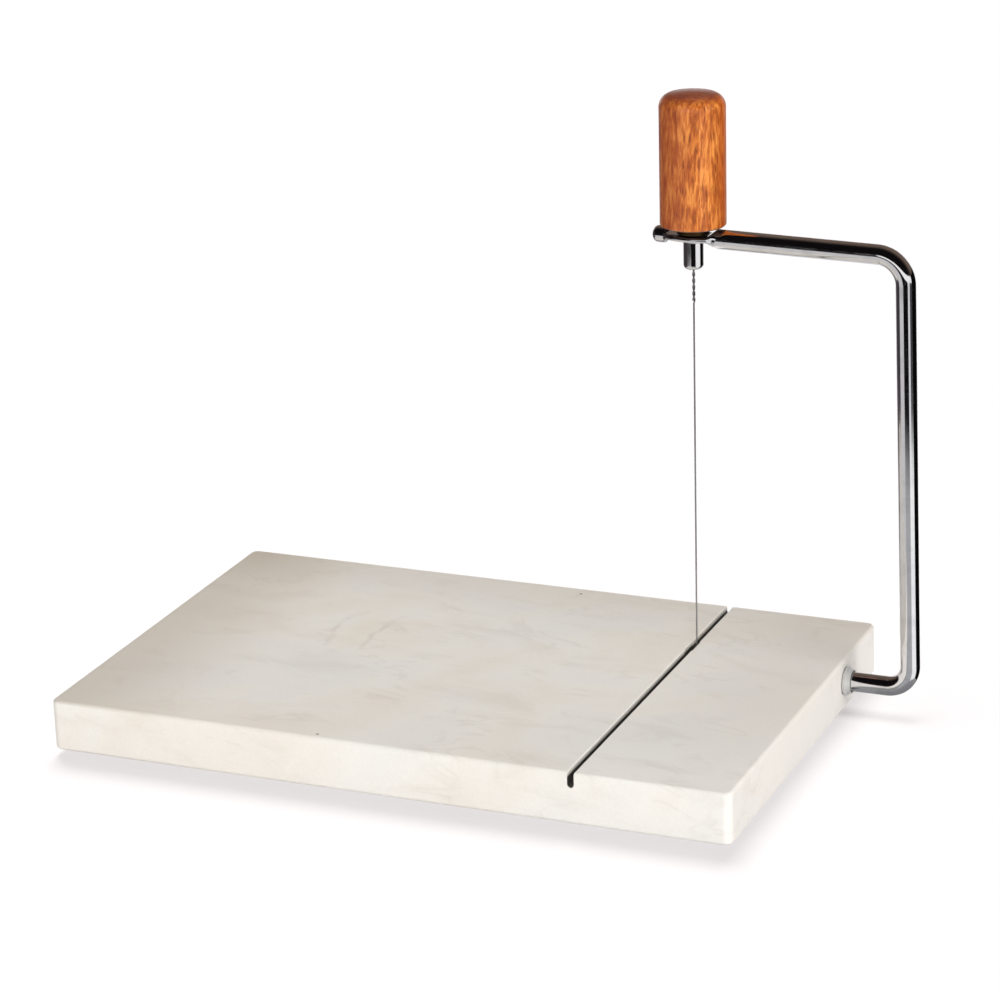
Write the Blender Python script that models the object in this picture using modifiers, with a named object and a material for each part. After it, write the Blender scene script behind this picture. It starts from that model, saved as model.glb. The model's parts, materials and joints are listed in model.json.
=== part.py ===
"""Marble cheese slicer: a stone slab with a wire groove, and a bent rod arm that carries the cutting wire.

Metres, +Z up, X along the slab, the front edge towards -Y. The origin is on the table, under the middle of
the bounding box. The arm is built in its own frame, whose origin is where the wire meets the pivot axis,
whose X is the pivot axis and whose Z is the wire.
"""

import math

import bmesh
import bpy
from mathutils import Matrix, Vector

# Clearances and cuts
FIT_GAP = 0.0003  # between a piece and its seat, or a shaft and its bore
CRIMP_GAP = 0.0001  # between the wire and what is squeezed onto it
CUT_OVERRUN = 0.002  # how far a cutter runs past the face that it opens

# Slab
SLAB_LENGTH = 0.230
SLAB_DEPTH = 0.146
SLAB_THICKNESS = 0.017
SLAB_ARRIS_RADIUS = 0.0012
PIVOT_FROM_BACK = 0.0335
PIVOT_DEPTH = 0.0075  # from the slab's top to the pivot axis
GROOVE_FROM_RIGHT = 0.051
GROOVE_WIDTH = 0.0022
GROOVE_FRONT_DEPTH = 0.005
GROOVE_BACK_DEPTH = 0.003
SLOT_WIDTH = 0.0028
SLOT_REACH = 0.009  # how far the wide slot over the pivot runs forward
BORE_PAST_SHAFT = 0.003
ACCESS_SPARE = 0.0012  # how far the hole from below stands clear of the wire's stop

# Feet
FOOT_DIAMETER = 0.010
FOOT_HEIGHT = 0.002
FOOT_TAPER = 0.0008  # how much smaller its radius is at the table
FOOT_INSET = 0.018

# Arm rod
ROD_DIAMETER = 0.00635
SHAFT_PAST_WIRE = 0.006
LEG_OUT = 0.0218  # from the slab's right face to the upright's axis, at the pivot's height
ARM_HEIGHT = 0.1427  # from the pivot axis to the top leg's axis, at the upright
LEG_LEAN = math.radians(1.3)
TOP_RISE = math.radians(1.1)
LOW_BEND_RADIUS = 0.0075
TOP_BEND_RADIUS = 0.0095
ARM_LEAN_BACK = math.radians(1.0)
ROD_END_ROUNDING = 0.0011

# The pressed eye in the rod, measured from the wire along the top leg
EYE_THICKNESS = 0.0020
EYE_WIDTH = 0.0112
EYE_FLAT_LEFT = 0.0082
EYE_FLAT_RIGHT = 0.0054
EYE_LEFT_RAMP = 0.0012
EYE_RIGHT_RAMP = 0.0032
EYE_STUB = 0.0039  # the round end past the eye
EYE_STUB_SHARE = 0.86  # the round end's share of the rod's radius
EYE_STUB_ROUNDING = 0.0019

# Pivot bushing
SLEEVE_WALL = 0.0008
SLEEVE_LENGTH = 0.012
COLLAR_DIAMETER = 0.0096
COLLAR_THICKNESS = 0.0007
COLLAR_FLARE = 0.0016
COLLAR_LIP = 0.0004

# Wire and its lower stop
WIRE_DIAMETER = 0.00055
STRAND_BITE = 0.00004  # how far the two twisted strands press into each other
TWIST_BELOW_FERRULE = 0.0105
TWIST_HALF_TURN = 0.0021
TWIST_START_BLEND = 0.0005
STOP_DIAMETER = 0.0021
STOP_LENGTH = 0.0013

# Ferrule and tension screw
FERRULE_DIAMETER = 0.0064
FERRULE_LENGTH = 0.0092
FERRULE_NOSE_RADIUS = 0.0016
FERRULE_NOSE_WALL = 0.0025
FERRULE_RIM_CHAMFER = 0.0003
SCREW_DIAMETER = 0.004
SCREW_IN_FERRULE = 0.0045
SCREW_IN_INSERT = 0.0115
SCREW_END_CHAMFER = 0.0005

# Handle and its insert
HANDLE_DIAMETER = 0.0211
HANDLE_LENGTH = 0.0430
HANDLE_CROWN_RADIUS = 0.0043
HANDLE_CROWN_RISE = 0.0005
HANDLE_FOOT_RADIUS = 0.0009
HANDLE_BORE_SPARE = 0.002  # how much deeper the handle's bore is than the insert
INSERT_DIAMETER = 0.0085
INSERT_LENGTH = 0.013
INSERT_COLLAR_DIAMETER = 0.0105

# Facets and shares
ROD_BEVEL_RESOLUTION = 10  # a bevelled curve has four sides, and two more for each of these
BEND_STEPS = 12
CROWN_STEPS = 3
EYE_STATION_STEP = 0.0004
TURNED_SIDES = 48
SMALL_TURNED_SIDES = 32
ARC_STEPS = 6
ARRIS_SEGMENTS = 3
GROOVE_SEGMENTS = 4
STRAND_POINTS = 7
TWIST_STEPS_PER_HALF_TURN = 6
MERGE_DISTANCE = 0.000001
ROUND_PROFILE_SHARE = 0.5  # the bevel profile of a true arc
FULL_ROUND_SHARE = 0.48  # a bevel of this share of the width rounds a groove or a slot's end
EYE_SPREAD_POWER = 0.7  # how square the eye's outline is: 0.5 is an ellipse, 1 a parabola
EYE_FLATNESS_POWER = 3  # how flat the pressed faces are: 1 is an ellipse
SHARP_ANGLE = math.radians(35)
ALONG_AXIS_ANGLE = math.radians(20)

# Derived places. The slab rests on its feet.
ROD_RADIUS = ROD_DIAMETER / 2
WIRE_RADIUS = WIRE_DIAMETER / 2
SCREW_RADIUS = SCREW_DIAMETER / 2
SLAB_BOTTOM = FOOT_HEIGHT + FIT_GAP
SLAB_TOP = SLAB_BOTTOM + SLAB_THICKNESS
LEG_FROM_WIRE = GROOVE_FROM_RIGHT + LEG_OUT
LOW_BEND_TURN = math.pi / 2 + LEG_LEAN
LEG_REACH = LEG_OUT - LOW_BEND_RADIUS * (math.tan(LOW_BEND_TURN / 2) - 1) + ROD_RADIUS
SLAB_LEFT = -(SLAB_LENGTH + LEG_REACH) / 2
SLAB_RIGHT = SLAB_LEFT + SLAB_LENGTH
SLAB_FRONT = -SLAB_DEPTH / 2
SLAB_BACK = SLAB_DEPTH / 2
PIVOT = Vector((SLAB_RIGHT - GROOVE_FROM_RIGHT, SLAB_BACK - PIVOT_FROM_BACK, SLAB_TOP - PIVOT_DEPTH))
WIRE_CLEARANCE = WIRE_RADIUS + FIT_GAP
STRAND_SPREAD = WIRE_RADIUS - STRAND_BITE / 2  # a twisted strand's distance from the wire's axis
SHAFT_HOLE = ROD_RADIUS + FIT_GAP
SCREW_HOLE = SCREW_RADIUS + FIT_GAP

# Derived heights in the arm's frame
UPRIGHT_TOP_X = LEG_FROM_WIRE - ARM_HEIGHT * math.tan(LEG_LEAN)
EYE_HEIGHT = ARM_HEIGHT + UPRIGHT_TOP_X * math.tan(TOP_RISE)
EYE_LEFT = EYE_FLAT_LEFT + EYE_LEFT_RAMP
EYE_RIGHT = EYE_FLAT_RIGHT + EYE_RIGHT_RAMP
ROD_END_REACH = EYE_LEFT + EYE_STUB
EYE_TOP = EYE_HEIGHT + EYE_THICKNESS / 2
EYE_UNDERSIDE = EYE_HEIGHT - EYE_THICKNESS / 2
FERRULE_TOP = EYE_UNDERSIDE - FIT_GAP
FERRULE_BOTTOM = FERRULE_TOP - FERRULE_LENGTH
SCREW_BOTTOM = FERRULE_TOP - SCREW_IN_FERRULE
WIRE_TOP = SCREW_BOTTOM - FIT_GAP
TWIST_START = FERRULE_BOTTOM - TWIST_BELOW_FERRULE
STOP_TOP = -FIT_GAP
STOP_BOTTOM = STOP_TOP - STOP_LENGTH
INSERT_BOTTOM = EYE_TOP + FIT_GAP
HANDLE_FOOT = EYE_HEIGHT + ROD_RADIUS + ROD_END_REACH * math.tan(TOP_RISE) + FIT_GAP
HANDLE_TOP = HANDLE_FOOT + HANDLE_LENGTH
INSERT_COLLAR_TOP = HANDLE_FOOT - FIT_GAP
INSERT_TOP = HANDLE_FOOT + INSERT_LENGTH
SCREW_TOP = HANDLE_FOOT + SCREW_IN_INSERT


# Helpers


def new_collection(name):
    """A collection in the scene."""
    collection = bpy.data.collections.new(name)
    bpy.context.scene.collection.children.link(collection)
    return collection


def place(obj, name, collection, parent=None, location=(0, 0, 0), rotation=(0, 0, 0)):
    """Names an object, moves it to the collection and sets where it is."""
    obj.name = name
    for holder in list(obj.users_collection):
        holder.objects.unlink(obj)
    collection.objects.link(obj)
    obj.parent = parent
    obj.location = location
    obj.rotation_euler = rotation
    return obj


def mesh_object(name, form, collection, parent=None, location=(0, 0, 0), rotation=(0, 0, 0)):
    """An object whose mesh is this bmesh."""
    mesh = bpy.data.meshes.new(name)
    form.to_mesh(mesh)
    form.free()
    return place(bpy.data.objects.new(name, mesh), name, collection, parent, location, rotation)


def dress(obj, material, round_piece=True):
    """Gives a finished piece its material and, where it is round, smooth shading."""
    obj.data.materials.append(material)
    if round_piece:
        obj.data.shade_smooth()
        obj.data.set_sharp_from_angle(angle=SHARP_ANGLE)


def box_form(low, high):
    """A bmesh box between two corners."""
    form = bmesh.new()
    bmesh.ops.create_cube(form, size=1)
    size = [b - a for a, b in zip(low, high)]
    middle = [(a + b) / 2 for a, b in zip(low, high)]
    bmesh.ops.scale(form, vec=size, verts=form.verts)
    bmesh.ops.translate(form, vec=middle, verts=form.verts)
    return form


def bevel_edges(form, chosen, width, segments):
    """Rounds the edges that the test chooses."""
    edges = [edge for edge in form.edges if chosen(edge)]
    bmesh.ops.bevel(form, geom=edges, offset=width, segments=segments, profile=ROUND_PROFILE_SHARE,
                    affect="EDGES", material=-1)


def runs_along(edge, axis):
    """Whether an edge runs along this axis (0, 1 or 2) more than along the others."""
    step = edge.verts[1].co - edge.verts[0].co
    return abs(step[axis]) > step.length * math.cos(ALONG_AXIS_ANGLE)


def turned(name, profile, sides, collection, parent=None, location=(0, 0, 0), rotation=(0, 0, 0),
           closed=False):
    """Turns a profile of (radius, height) points about Z. It runs down the outer side, top to bottom."""
    form = bmesh.new()
    verts = [form.verts.new((radius, 0, height)) for radius, height in profile]
    for start, end in zip(verts, verts[1:]):
        form.edges.new((start, end))
    if closed:
        form.edges.new((verts[-1], verts[0]))
    obj = mesh_object(name, form, collection, parent, location, rotation)
    screw = obj.modifiers.new("Turn", "SCREW")
    screw.axis = "Z"
    screw.steps = screw.render_steps = sides
    screw.use_merge_vertices = True
    screw.merge_threshold = MERGE_DISTANCE
    screw.use_normal_calculate = False
    return obj


def arc(centre, radius, start, end, steps=ARC_STEPS):
    """Points on an arc in the (radius, height) plane, from one angle in degrees to another."""
    angles = [math.radians(start + (end - start) * k / steps) for k in range(steps + 1)]
    return [(centre[0] + radius * math.cos(a), centre[1] + radius * math.sin(a)) for a in angles]


def cutter_cylinder(name, radius, start, end, sides, collection, parent=None):
    """A cylinder from one point to another that cuts, but isn't part of the model."""
    start, end = Vector(start), Vector(end)
    axis = end - start
    bpy.ops.mesh.primitive_cylinder_add(vertices=sides, radius=radius, depth=axis.length)
    turn = axis.to_track_quat("Z", "Y").to_euler()
    return hide(place(bpy.context.object, name, collection, parent, (start + end) / 2, turn))


def hide(obj):
    """Marks an object as a cutter."""
    obj.hide_render = True
    obj.display_type = "WIRE"
    return obj


def cut(obj, cutters):
    """Cuts each of the cutters out of the object."""
    for cutter in cutters:
        modifier = obj.modifiers.new(cutter.name, "BOOLEAN")
        modifier.operation = "DIFFERENCE"
        modifier.solver = "EXACT"
        modifier.object = cutter


def finish(name, colour, metallic, roughness):
    """A Principled material. The colour is given in sRGB, from 0 to 1."""
    material = bpy.data.materials.new(name)
    material.use_nodes = True
    shader = material.node_tree.nodes["Principled BSDF"]
    linear = [c / 12.92 if c <= 0.04045 else ((c + 0.055) / 1.055) ** 2.4 for c in colour]
    shader.inputs["Base Color"].default_value = (*linear, 1)
    shader.inputs["Metallic"].default_value = metallic
    shader.inputs["Roughness"].default_value = roughness
    return material


# Slab


def groove_floor_depth(behind_pivot):
    """The groove's depth in front of the pivot, where its floor lies along the closed wire's underside."""
    pivot_floor = PIVOT_DEPTH + WIRE_CLEARANCE
    front = PIVOT.y - SLAB_FRONT
    return pivot_floor + (pivot_floor - GROOVE_FRONT_DEPTH) * behind_pivot / front


def groove_cutter(name, y_from, y_to, depth_at, width, collection):
    """A round-bottomed groove along Y, whose depth follows depth_at."""
    low = (PIVOT.x - width / 2, y_from, SLAB_TOP - SLAB_THICKNESS)
    high = (PIVOT.x + width / 2, y_to, SLAB_TOP + CUT_OVERRUN)
    form = box_form(low, high)
    floor = [vert for vert in form.verts if vert.co.z < SLAB_TOP]
    for vert in floor:
        vert.co.z = SLAB_TOP - depth_at(vert.co.y - PIVOT.y)
    floor_edge = lambda edge: runs_along(edge, 1) and all(vert in floor for vert in edge.verts)
    bevel_edges(form, floor_edge, width * FULL_ROUND_SHARE, GROOVE_SEGMENTS)
    return hide(mesh_object(name, form, collection))


def slot_cutter(name, collection):
    """The wide round-ended slot over the pivot, down to the shaft. Its back end is the arm's open stop."""
    low = (PIVOT.x - SLOT_WIDTH / 2, PIVOT.y - SLOT_REACH, SLAB_TOP - PIVOT_DEPTH - WIRE_CLEARANCE)
    high = (PIVOT.x + SLOT_WIDTH / 2, PIVOT.y + WIRE_CLEARANCE, SLAB_TOP + CUT_OVERRUN)
    form = box_form(low, high)
    bevel_edges(form, lambda e: runs_along(e, 2), SLOT_WIDTH * FULL_ROUND_SHARE, GROOVE_SEGMENTS)
    return hide(mesh_object(name, form, collection))


def marble_board(parts, cutters, material):
    """The slab, with the shaft's bore, the bushing's seat, the groove, the slot and the access hole."""
    form = box_form((SLAB_LEFT, SLAB_FRONT, SLAB_BOTTOM), (SLAB_RIGHT, SLAB_BACK, SLAB_TOP))
    bevel_edges(form, lambda e: True, SLAB_ARRIS_RADIUS, ARRIS_SEGMENTS)
    board = mesh_object("marble_board", form, parts)
    dress(board, material, round_piece=False)
    seat_radius = SHAFT_HOLE + SLEEVE_WALL + FIT_GAP
    access_radius = STOP_DIAMETER / 2 + ACCESS_SPARE
    opened = SLAB_RIGHT + CUT_OVERRUN
    bore_end = PIVOT.x - SHAFT_PAST_WIRE - BORE_PAST_SHAFT
    seat_end = SLAB_RIGHT - SLEEVE_LENGTH - FIT_GAP
    below = (PIVOT.x, PIVOT.y, SLAB_BOTTOM - CUT_OVERRUN)
    cut(board, [
        cutter_cylinder("shaft_bore", SHAFT_HOLE, (bore_end, PIVOT.y, PIVOT.z),
                        (opened, PIVOT.y, PIVOT.z), TURNED_SIDES, cutters),
        cutter_cylinder("bushing_seat", seat_radius, (seat_end, PIVOT.y, PIVOT.z),
                        (opened, PIVOT.y, PIVOT.z), TURNED_SIDES, cutters),
        cutter_cylinder("access_hole", access_radius, below, PIVOT, SMALL_TURNED_SIDES, cutters),
        groove_cutter("groove_front", SLAB_FRONT - CUT_OVERRUN, PIVOT.y, groove_floor_depth,
                      GROOVE_WIDTH, cutters),
        groove_cutter("groove_back", PIVOT.y, SLAB_BACK + CUT_OVERRUN, lambda y: GROOVE_BACK_DEPTH,
                      GROOVE_WIDTH, cutters),
        slot_cutter("pivot_slot", cutters),
    ])
    return board


def pivot_bushing(parts, material):
    """The sleeve in the slab's right face, with its flared collar outside."""
    outer = SHAFT_HOLE + SLEEVE_WALL
    lip = SHAFT_HOLE + COLLAR_LIP
    rim = COLLAR_DIAMETER / 2
    top = COLLAR_THICKNESS + COLLAR_FLARE
    sleeve_end = -SLEEVE_LENGTH
    flare = []
    for step in range(ARC_STEPS + 1):
        angle = math.pi + math.pi / 2 * step / ARC_STEPS
        flare.append((rim + (rim - lip) * math.cos(angle), top + COLLAR_FLARE * math.sin(angle)))
    profile = [(SHAFT_HOLE, top)] + flare
    profile += [(rim, 0), (outer, 0), (outer, sleeve_end), (SHAFT_HOLE, sleeve_end)]
    face = (SLAB_RIGHT + FIT_GAP, PIVOT.y, PIVOT.z)
    bushing = turned("pivot_bushing", profile, TURNED_SIDES, parts, location=face,
                     rotation=(0, math.pi / 2, 0), closed=True)
    dress(bushing, material)
    return bushing


def rubber_foot(name, x, y, parts, material):
    """A flat, slightly tapered pad under the slab."""
    top = FOOT_DIAMETER / 2
    profile = [(0, FOOT_HEIGHT), (top, FOOT_HEIGHT), (top, FOOT_HEIGHT / 2), (top - FOOT_TAPER, 0), (0, 0)]
    foot = turned(name, profile, SMALL_TURNED_SIDES, parts, location=(x, y, 0))
    dress(foot, material)
    return foot


# Arm


def bend_points(before, corner, after, radius):
    """The arc that rounds a corner of a path, as points."""
    towards_before = (before - corner).normalized()
    towards_after = (after - corner).normalized()
    half = towards_before.angle(towards_after) / 2
    centre = corner + (towards_before + towards_after).normalized() * radius / math.sin(half)
    start = corner + towards_before * radius / math.tan(half) - centre
    end = corner + towards_after * radius / math.tan(half) - centre
    axis = start.cross(end)
    turns = [start.angle(end) * step / BEND_STEPS for step in range(BEND_STEPS + 1)]
    return [centre + Matrix.Rotation(turn, 3, axis) @ start for turn in turns]


def rod_path():
    """The rod's centre line in the arm's frame, from shaft to stub, as (point, radius share) pairs."""
    shaft_end = Vector((-SHAFT_PAST_WIRE, 0, 0))
    low_corner = Vector((LEG_FROM_WIRE, 0, 0))
    top_corner = Vector((UPRIGHT_TOP_X, 0, ARM_HEIGHT))
    stub_end = Vector((-ROD_END_REACH, 0, top_leg_height(-ROD_END_REACH)))
    path = rounded_end(shaft_end, low_corner, 1, ROD_END_ROUNDING)
    path += [(point, 1) for point in bend_points(shaft_end, low_corner, top_corner, LOW_BEND_RADIUS)]
    path += [(point, 1) for point in bend_points(low_corner, top_corner, stub_end, TOP_BEND_RADIUS)]
    eye_stretch = EYE_RIGHT + EYE_LEFT
    stations = round(eye_stretch / EYE_STATION_STEP)
    for step in range(stations + 1):
        x = EYE_RIGHT - eye_stretch * step / stations
        past_wire = min(1, max(0, -x / EYE_LEFT))
        necked = past_wire ** 2 * (3 - 2 * past_wire)
        path.append((Vector((x, 0, top_leg_height(x))), 1 + (EYE_STUB_SHARE - 1) * necked))
    path += reversed(rounded_end(stub_end, top_corner, EYE_STUB_SHARE, EYE_STUB_ROUNDING))
    return path


def top_leg_height(x):
    """The height of the top leg's axis, x to the right of the wire."""
    return EYE_HEIGHT - x * math.tan(TOP_RISE)


def rounded_end(end, inwards, share, rounding):
    """Path points for a rod end with a rounded rim, from the end inwards, at a share of its radius."""
    direction = (inwards - end).normalized()
    points = []
    for step in range(ARC_STEPS + 1):
        angle = math.pi / 2 * step / ARC_STEPS
        depth = rounding * (1 - math.cos(angle))
        radius = ROD_RADIUS * share - rounding * (1 - math.sin(angle))
        points.append((end + direction * depth, radius / ROD_RADIUS))
    return points


def rod_tube(collection, parent):
    """The rod before its eye is pressed: a tube along its path, as a welded mesh."""
    path = rod_path()
    curve = bpy.data.curves.new("rod_curve", "CURVE")
    curve.dimensions = "3D"
    curve.bevel_depth = ROD_RADIUS
    curve.bevel_resolution = ROD_BEVEL_RESOLUTION
    curve.use_fill_caps = True
    spline = curve.splines.new("POLY")
    spline.points.add(len(path) - 1)
    for point, (place_on_path, share) in zip(spline.points, path):
        point.co = (*place_on_path, 1)
        point.radius = share
    guide = place(bpy.data.objects.new("rod_curve", curve), "rod_curve", collection, parent)
    bpy.context.view_layer.update()
    evaluated = guide.evaluated_get(bpy.context.evaluated_depsgraph_get())
    mesh = bpy.data.meshes.new_from_object(evaluated)
    bpy.data.objects.remove(guide)
    form = bmesh.new()
    form.from_mesh(mesh)
    bmesh.ops.remove_doubles(form, verts=form.verts, dist=MERGE_DISTANCE)
    return form


def press_eye(form):
    """Presses the rod flat round the screw and lets it spread sideways, as a press would."""
    middle = (EYE_RIGHT - EYE_LEFT) / 2
    half_length = (EYE_RIGHT + EYE_LEFT) / 2
    spread_most = EYE_WIDTH / ROD_DIAMETER - 1
    for vert in form.verts:
        x, height = vert.co.x, vert.co.z
        if height < ARM_HEIGHT / 2 or not -EYE_LEFT < x < EYE_RIGHT:
            continue
        ramp_share = (EYE_RIGHT - x) / EYE_RIGHT_RAMP if x > 0 else (x + EYE_LEFT) / EYE_LEFT_RAMP
        along = min(1, ramp_share)
        pressed = along ** 2 * (3 - 2 * along)
        half_thickness = ROD_RADIUS + (EYE_THICKNESS / 2 - ROD_RADIUS) * pressed
        flatness = 1 + (EYE_FLATNESS_POWER - 1) * pressed
        centre = top_leg_height(x) + (EYE_HEIGHT - top_leg_height(x)) * pressed
        offset = height - top_leg_height(x)
        edge_share = max(0, 1 - abs(offset) / ROD_RADIUS)
        vert.co.z = centre + math.copysign(half_thickness * (1 - edge_share ** flatness), offset)
        outline_share = (1 - ((x - middle) / half_length) ** 2) ** EYE_SPREAD_POWER
        vert.co.y *= 1 + spread_most * outline_share * pressed


def arm_rod(parts, cutters, pivot, material):
    """The bent rod with its pressed eye, the wire's cross hole and the pocket for the wire's stop."""
    form = rod_tube(parts, pivot)
    press_eye(form)
    rod = mesh_object("arm_rod", form, parts, pivot)
    dress(rod, material)
    pocket_radius = STOP_DIAMETER / 2 + FIT_GAP
    above_rod = (0, 0, ROD_RADIUS + CUT_OVERRUN)
    below_rod = (0, 0, -ROD_RADIUS - CUT_OVERRUN)
    eye_low = (0, 0, EYE_UNDERSIDE - CUT_OVERRUN)
    eye_high = (0, 0, EYE_TOP + CUT_OVERRUN)
    cut(rod, [
        cutter_cylinder("stop_pocket", pocket_radius, below_rod, (0, 0, 0),
                        SMALL_TURNED_SIDES, cutters, pivot),
        cutter_cylinder("wire_hole", WIRE_CLEARANCE, (0, 0, STOP_BOTTOM), above_rod,
                        SMALL_TURNED_SIDES, cutters, pivot),
        cutter_cylinder("eye_hole", SCREW_HOLE, eye_low, eye_high, TURNED_SIDES, cutters, pivot),
    ])
    return rod


# Wire


def pair_outline(index, count):
    """A point of the outline of two strands side by side, index of count points round it."""
    lobe_points = count // 2
    waist = math.pi - math.acos(STRAND_SPREAD / WIRE_RADIUS)
    angle = -waist + 2 * waist * (index % lobe_points) / lobe_points
    x = STRAND_SPREAD + WIRE_RADIUS * math.cos(angle)
    y = WIRE_RADIUS * math.sin(angle)
    return (x, y) if index < lobe_points else (-x, -y)


def wire_section(height):
    """The wire's outline at a height: round below the twist, two twisted strands above."""
    count = 2 * STRAND_POINTS
    paired = min(1, max(0, (height - TWIST_START) / TWIST_START_BLEND))
    turn = math.pi * max(0, height - TWIST_START) / TWIST_HALF_TURN
    section = []
    for index in range(count):
        angle = -math.pi / 2 + 2 * math.pi * index / count
        round_x, round_y = WIRE_RADIUS * math.cos(angle), WIRE_RADIUS * math.sin(angle)
        pair_x, pair_y = pair_outline(index, count)
        x = round_x + (pair_x - round_x) * paired
        y = round_y + (pair_y - round_y) * paired
        turned_x = x * math.cos(turn) - y * math.sin(turn)
        turned_y = x * math.sin(turn) + y * math.cos(turn)
        section.append((turned_x, turned_y, height))
    return section


def cutting_wire(parts, pivot, material):
    """The wire, from its stop in the shaft to its twisted end in the ferrule, as one extruded body."""
    twist_steps = round((WIRE_TOP - TWIST_START) / TWIST_HALF_TURN * TWIST_STEPS_PER_HALF_TURN)
    heights = [STOP_BOTTOM, TWIST_START]
    heights += [TWIST_START + (WIRE_TOP - TWIST_START) * k / twist_steps for k in range(1, twist_steps + 1)]
    form = bmesh.new()
    lower_end = form.faces.new([form.verts.new(point) for point in wire_section(heights[0])])
    cap = lower_end
    for height in heights[1:]:
        raised = bmesh.ops.extrude_face_region(form, geom=[cap], use_keep_orig=True)["geom"]
        if cap is not lower_end:
            bmesh.ops.delete(form, geom=[cap], context="FACES_ONLY")
        cap = next(item for item in raised if isinstance(item, bmesh.types.BMFace))
        for vert, point in zip(cap.verts, wire_section(height)):
            vert.co = point
    bmesh.ops.recalc_face_normals(form, faces=form.faces)
    wire = mesh_object("cutting_wire", form, parts, pivot)
    dress(wire, material)
    return wire


def wire_stop(parts, pivot, material):
    """The bead squeezed on the wire's lower end."""
    inner = WIRE_RADIUS + CRIMP_GAP
    outer = STOP_DIAMETER / 2
    profile = [(inner, STOP_TOP), (outer, STOP_TOP), (outer, STOP_BOTTOM), (inner, STOP_BOTTOM)]
    stop = turned("wire_stop", profile, SMALL_TURNED_SIDES, parts, pivot, closed=True)
    dress(stop, material)
    return stop


def wire_ferrule(parts, pivot, material):
    """The sleeve that joins the wire's twisted end to the tension screw."""
    outer = FERRULE_DIAMETER / 2
    strands = STRAND_SPREAD + WIRE_RADIUS + CRIMP_GAP
    nose_centre = (outer - FERRULE_NOSE_RADIUS, FERRULE_BOTTOM + FERRULE_NOSE_RADIUS)
    profile = [(SCREW_HOLE, FERRULE_TOP), (outer - FERRULE_RIM_CHAMFER, FERRULE_TOP),
               (outer, FERRULE_TOP - FERRULE_RIM_CHAMFER)]
    profile += arc(nose_centre, FERRULE_NOSE_RADIUS, 0, -90)
    profile += [(strands, FERRULE_BOTTOM), (strands, FERRULE_BOTTOM + FERRULE_NOSE_WALL),
                (SCREW_HOLE, FERRULE_BOTTOM + FERRULE_NOSE_WALL)]
    ferrule = turned("wire_ferrule", profile, TURNED_SIDES, parts, pivot, closed=True)
    dress(ferrule, material)
    return ferrule


def tension_screw(parts, pivot, material):
    """The stud from the ferrule up through the eye into the handle's insert."""
    inset = SCREW_RADIUS - SCREW_END_CHAMFER
    profile = [(0, SCREW_TOP), (inset, SCREW_TOP), (SCREW_RADIUS, SCREW_TOP - SCREW_END_CHAMFER),
               (SCREW_RADIUS, SCREW_BOTTOM + SCREW_END_CHAMFER), (inset, SCREW_BOTTOM), (0, SCREW_BOTTOM)]
    screw = turned("tension_screw", profile, SMALL_TURNED_SIDES, parts, pivot)
    dress(screw, material)
    return screw


# Handle


def handle_insert(parts, pivot, material):
    """The threaded insert in the handle's foot, whose collar turns on the eye."""
    barrel = INSERT_DIAMETER / 2
    collar = INSERT_COLLAR_DIAMETER / 2
    profile = [(SCREW_HOLE, INSERT_TOP), (barrel, INSERT_TOP), (barrel, INSERT_COLLAR_TOP),
               (collar, INSERT_COLLAR_TOP), (collar, INSERT_BOTTOM), (SCREW_HOLE, INSERT_BOTTOM)]
    insert = turned("handle_insert", profile, TURNED_SIDES, parts, pivot, closed=True)
    dress(insert, material)
    return insert


def handle(parts, pivot, material):
    """The turned wooden handle, bored from below for its insert."""
    radius = HANDLE_DIAMETER / 2
    bore = INSERT_DIAMETER / 2 + FIT_GAP
    bore_top = INSERT_TOP + HANDLE_BORE_SPARE
    shoulder = HANDLE_TOP - HANDLE_CROWN_RISE
    crown_centre = (radius - HANDLE_CROWN_RADIUS, shoulder - HANDLE_CROWN_RADIUS)
    foot_centre = (radius - HANDLE_FOOT_RADIUS, HANDLE_FOOT + HANDLE_FOOT_RADIUS)
    profile = []
    for step in range(CROWN_STEPS):
        share = step / CROWN_STEPS
        profile.append((crown_centre[0] * share, shoulder + HANDLE_CROWN_RISE * (1 - share ** 2)))
    profile += arc(crown_centre, HANDLE_CROWN_RADIUS, 90, 0)
    profile += arc(foot_centre, HANDLE_FOOT_RADIUS, 0, -90)
    profile += [(bore, HANDLE_FOOT), (bore, bore_top), (0, bore_top)]
    grip = turned("handle", profile, TURNED_SIDES, parts, pivot)
    dress(grip, material)
    return grip


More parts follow.
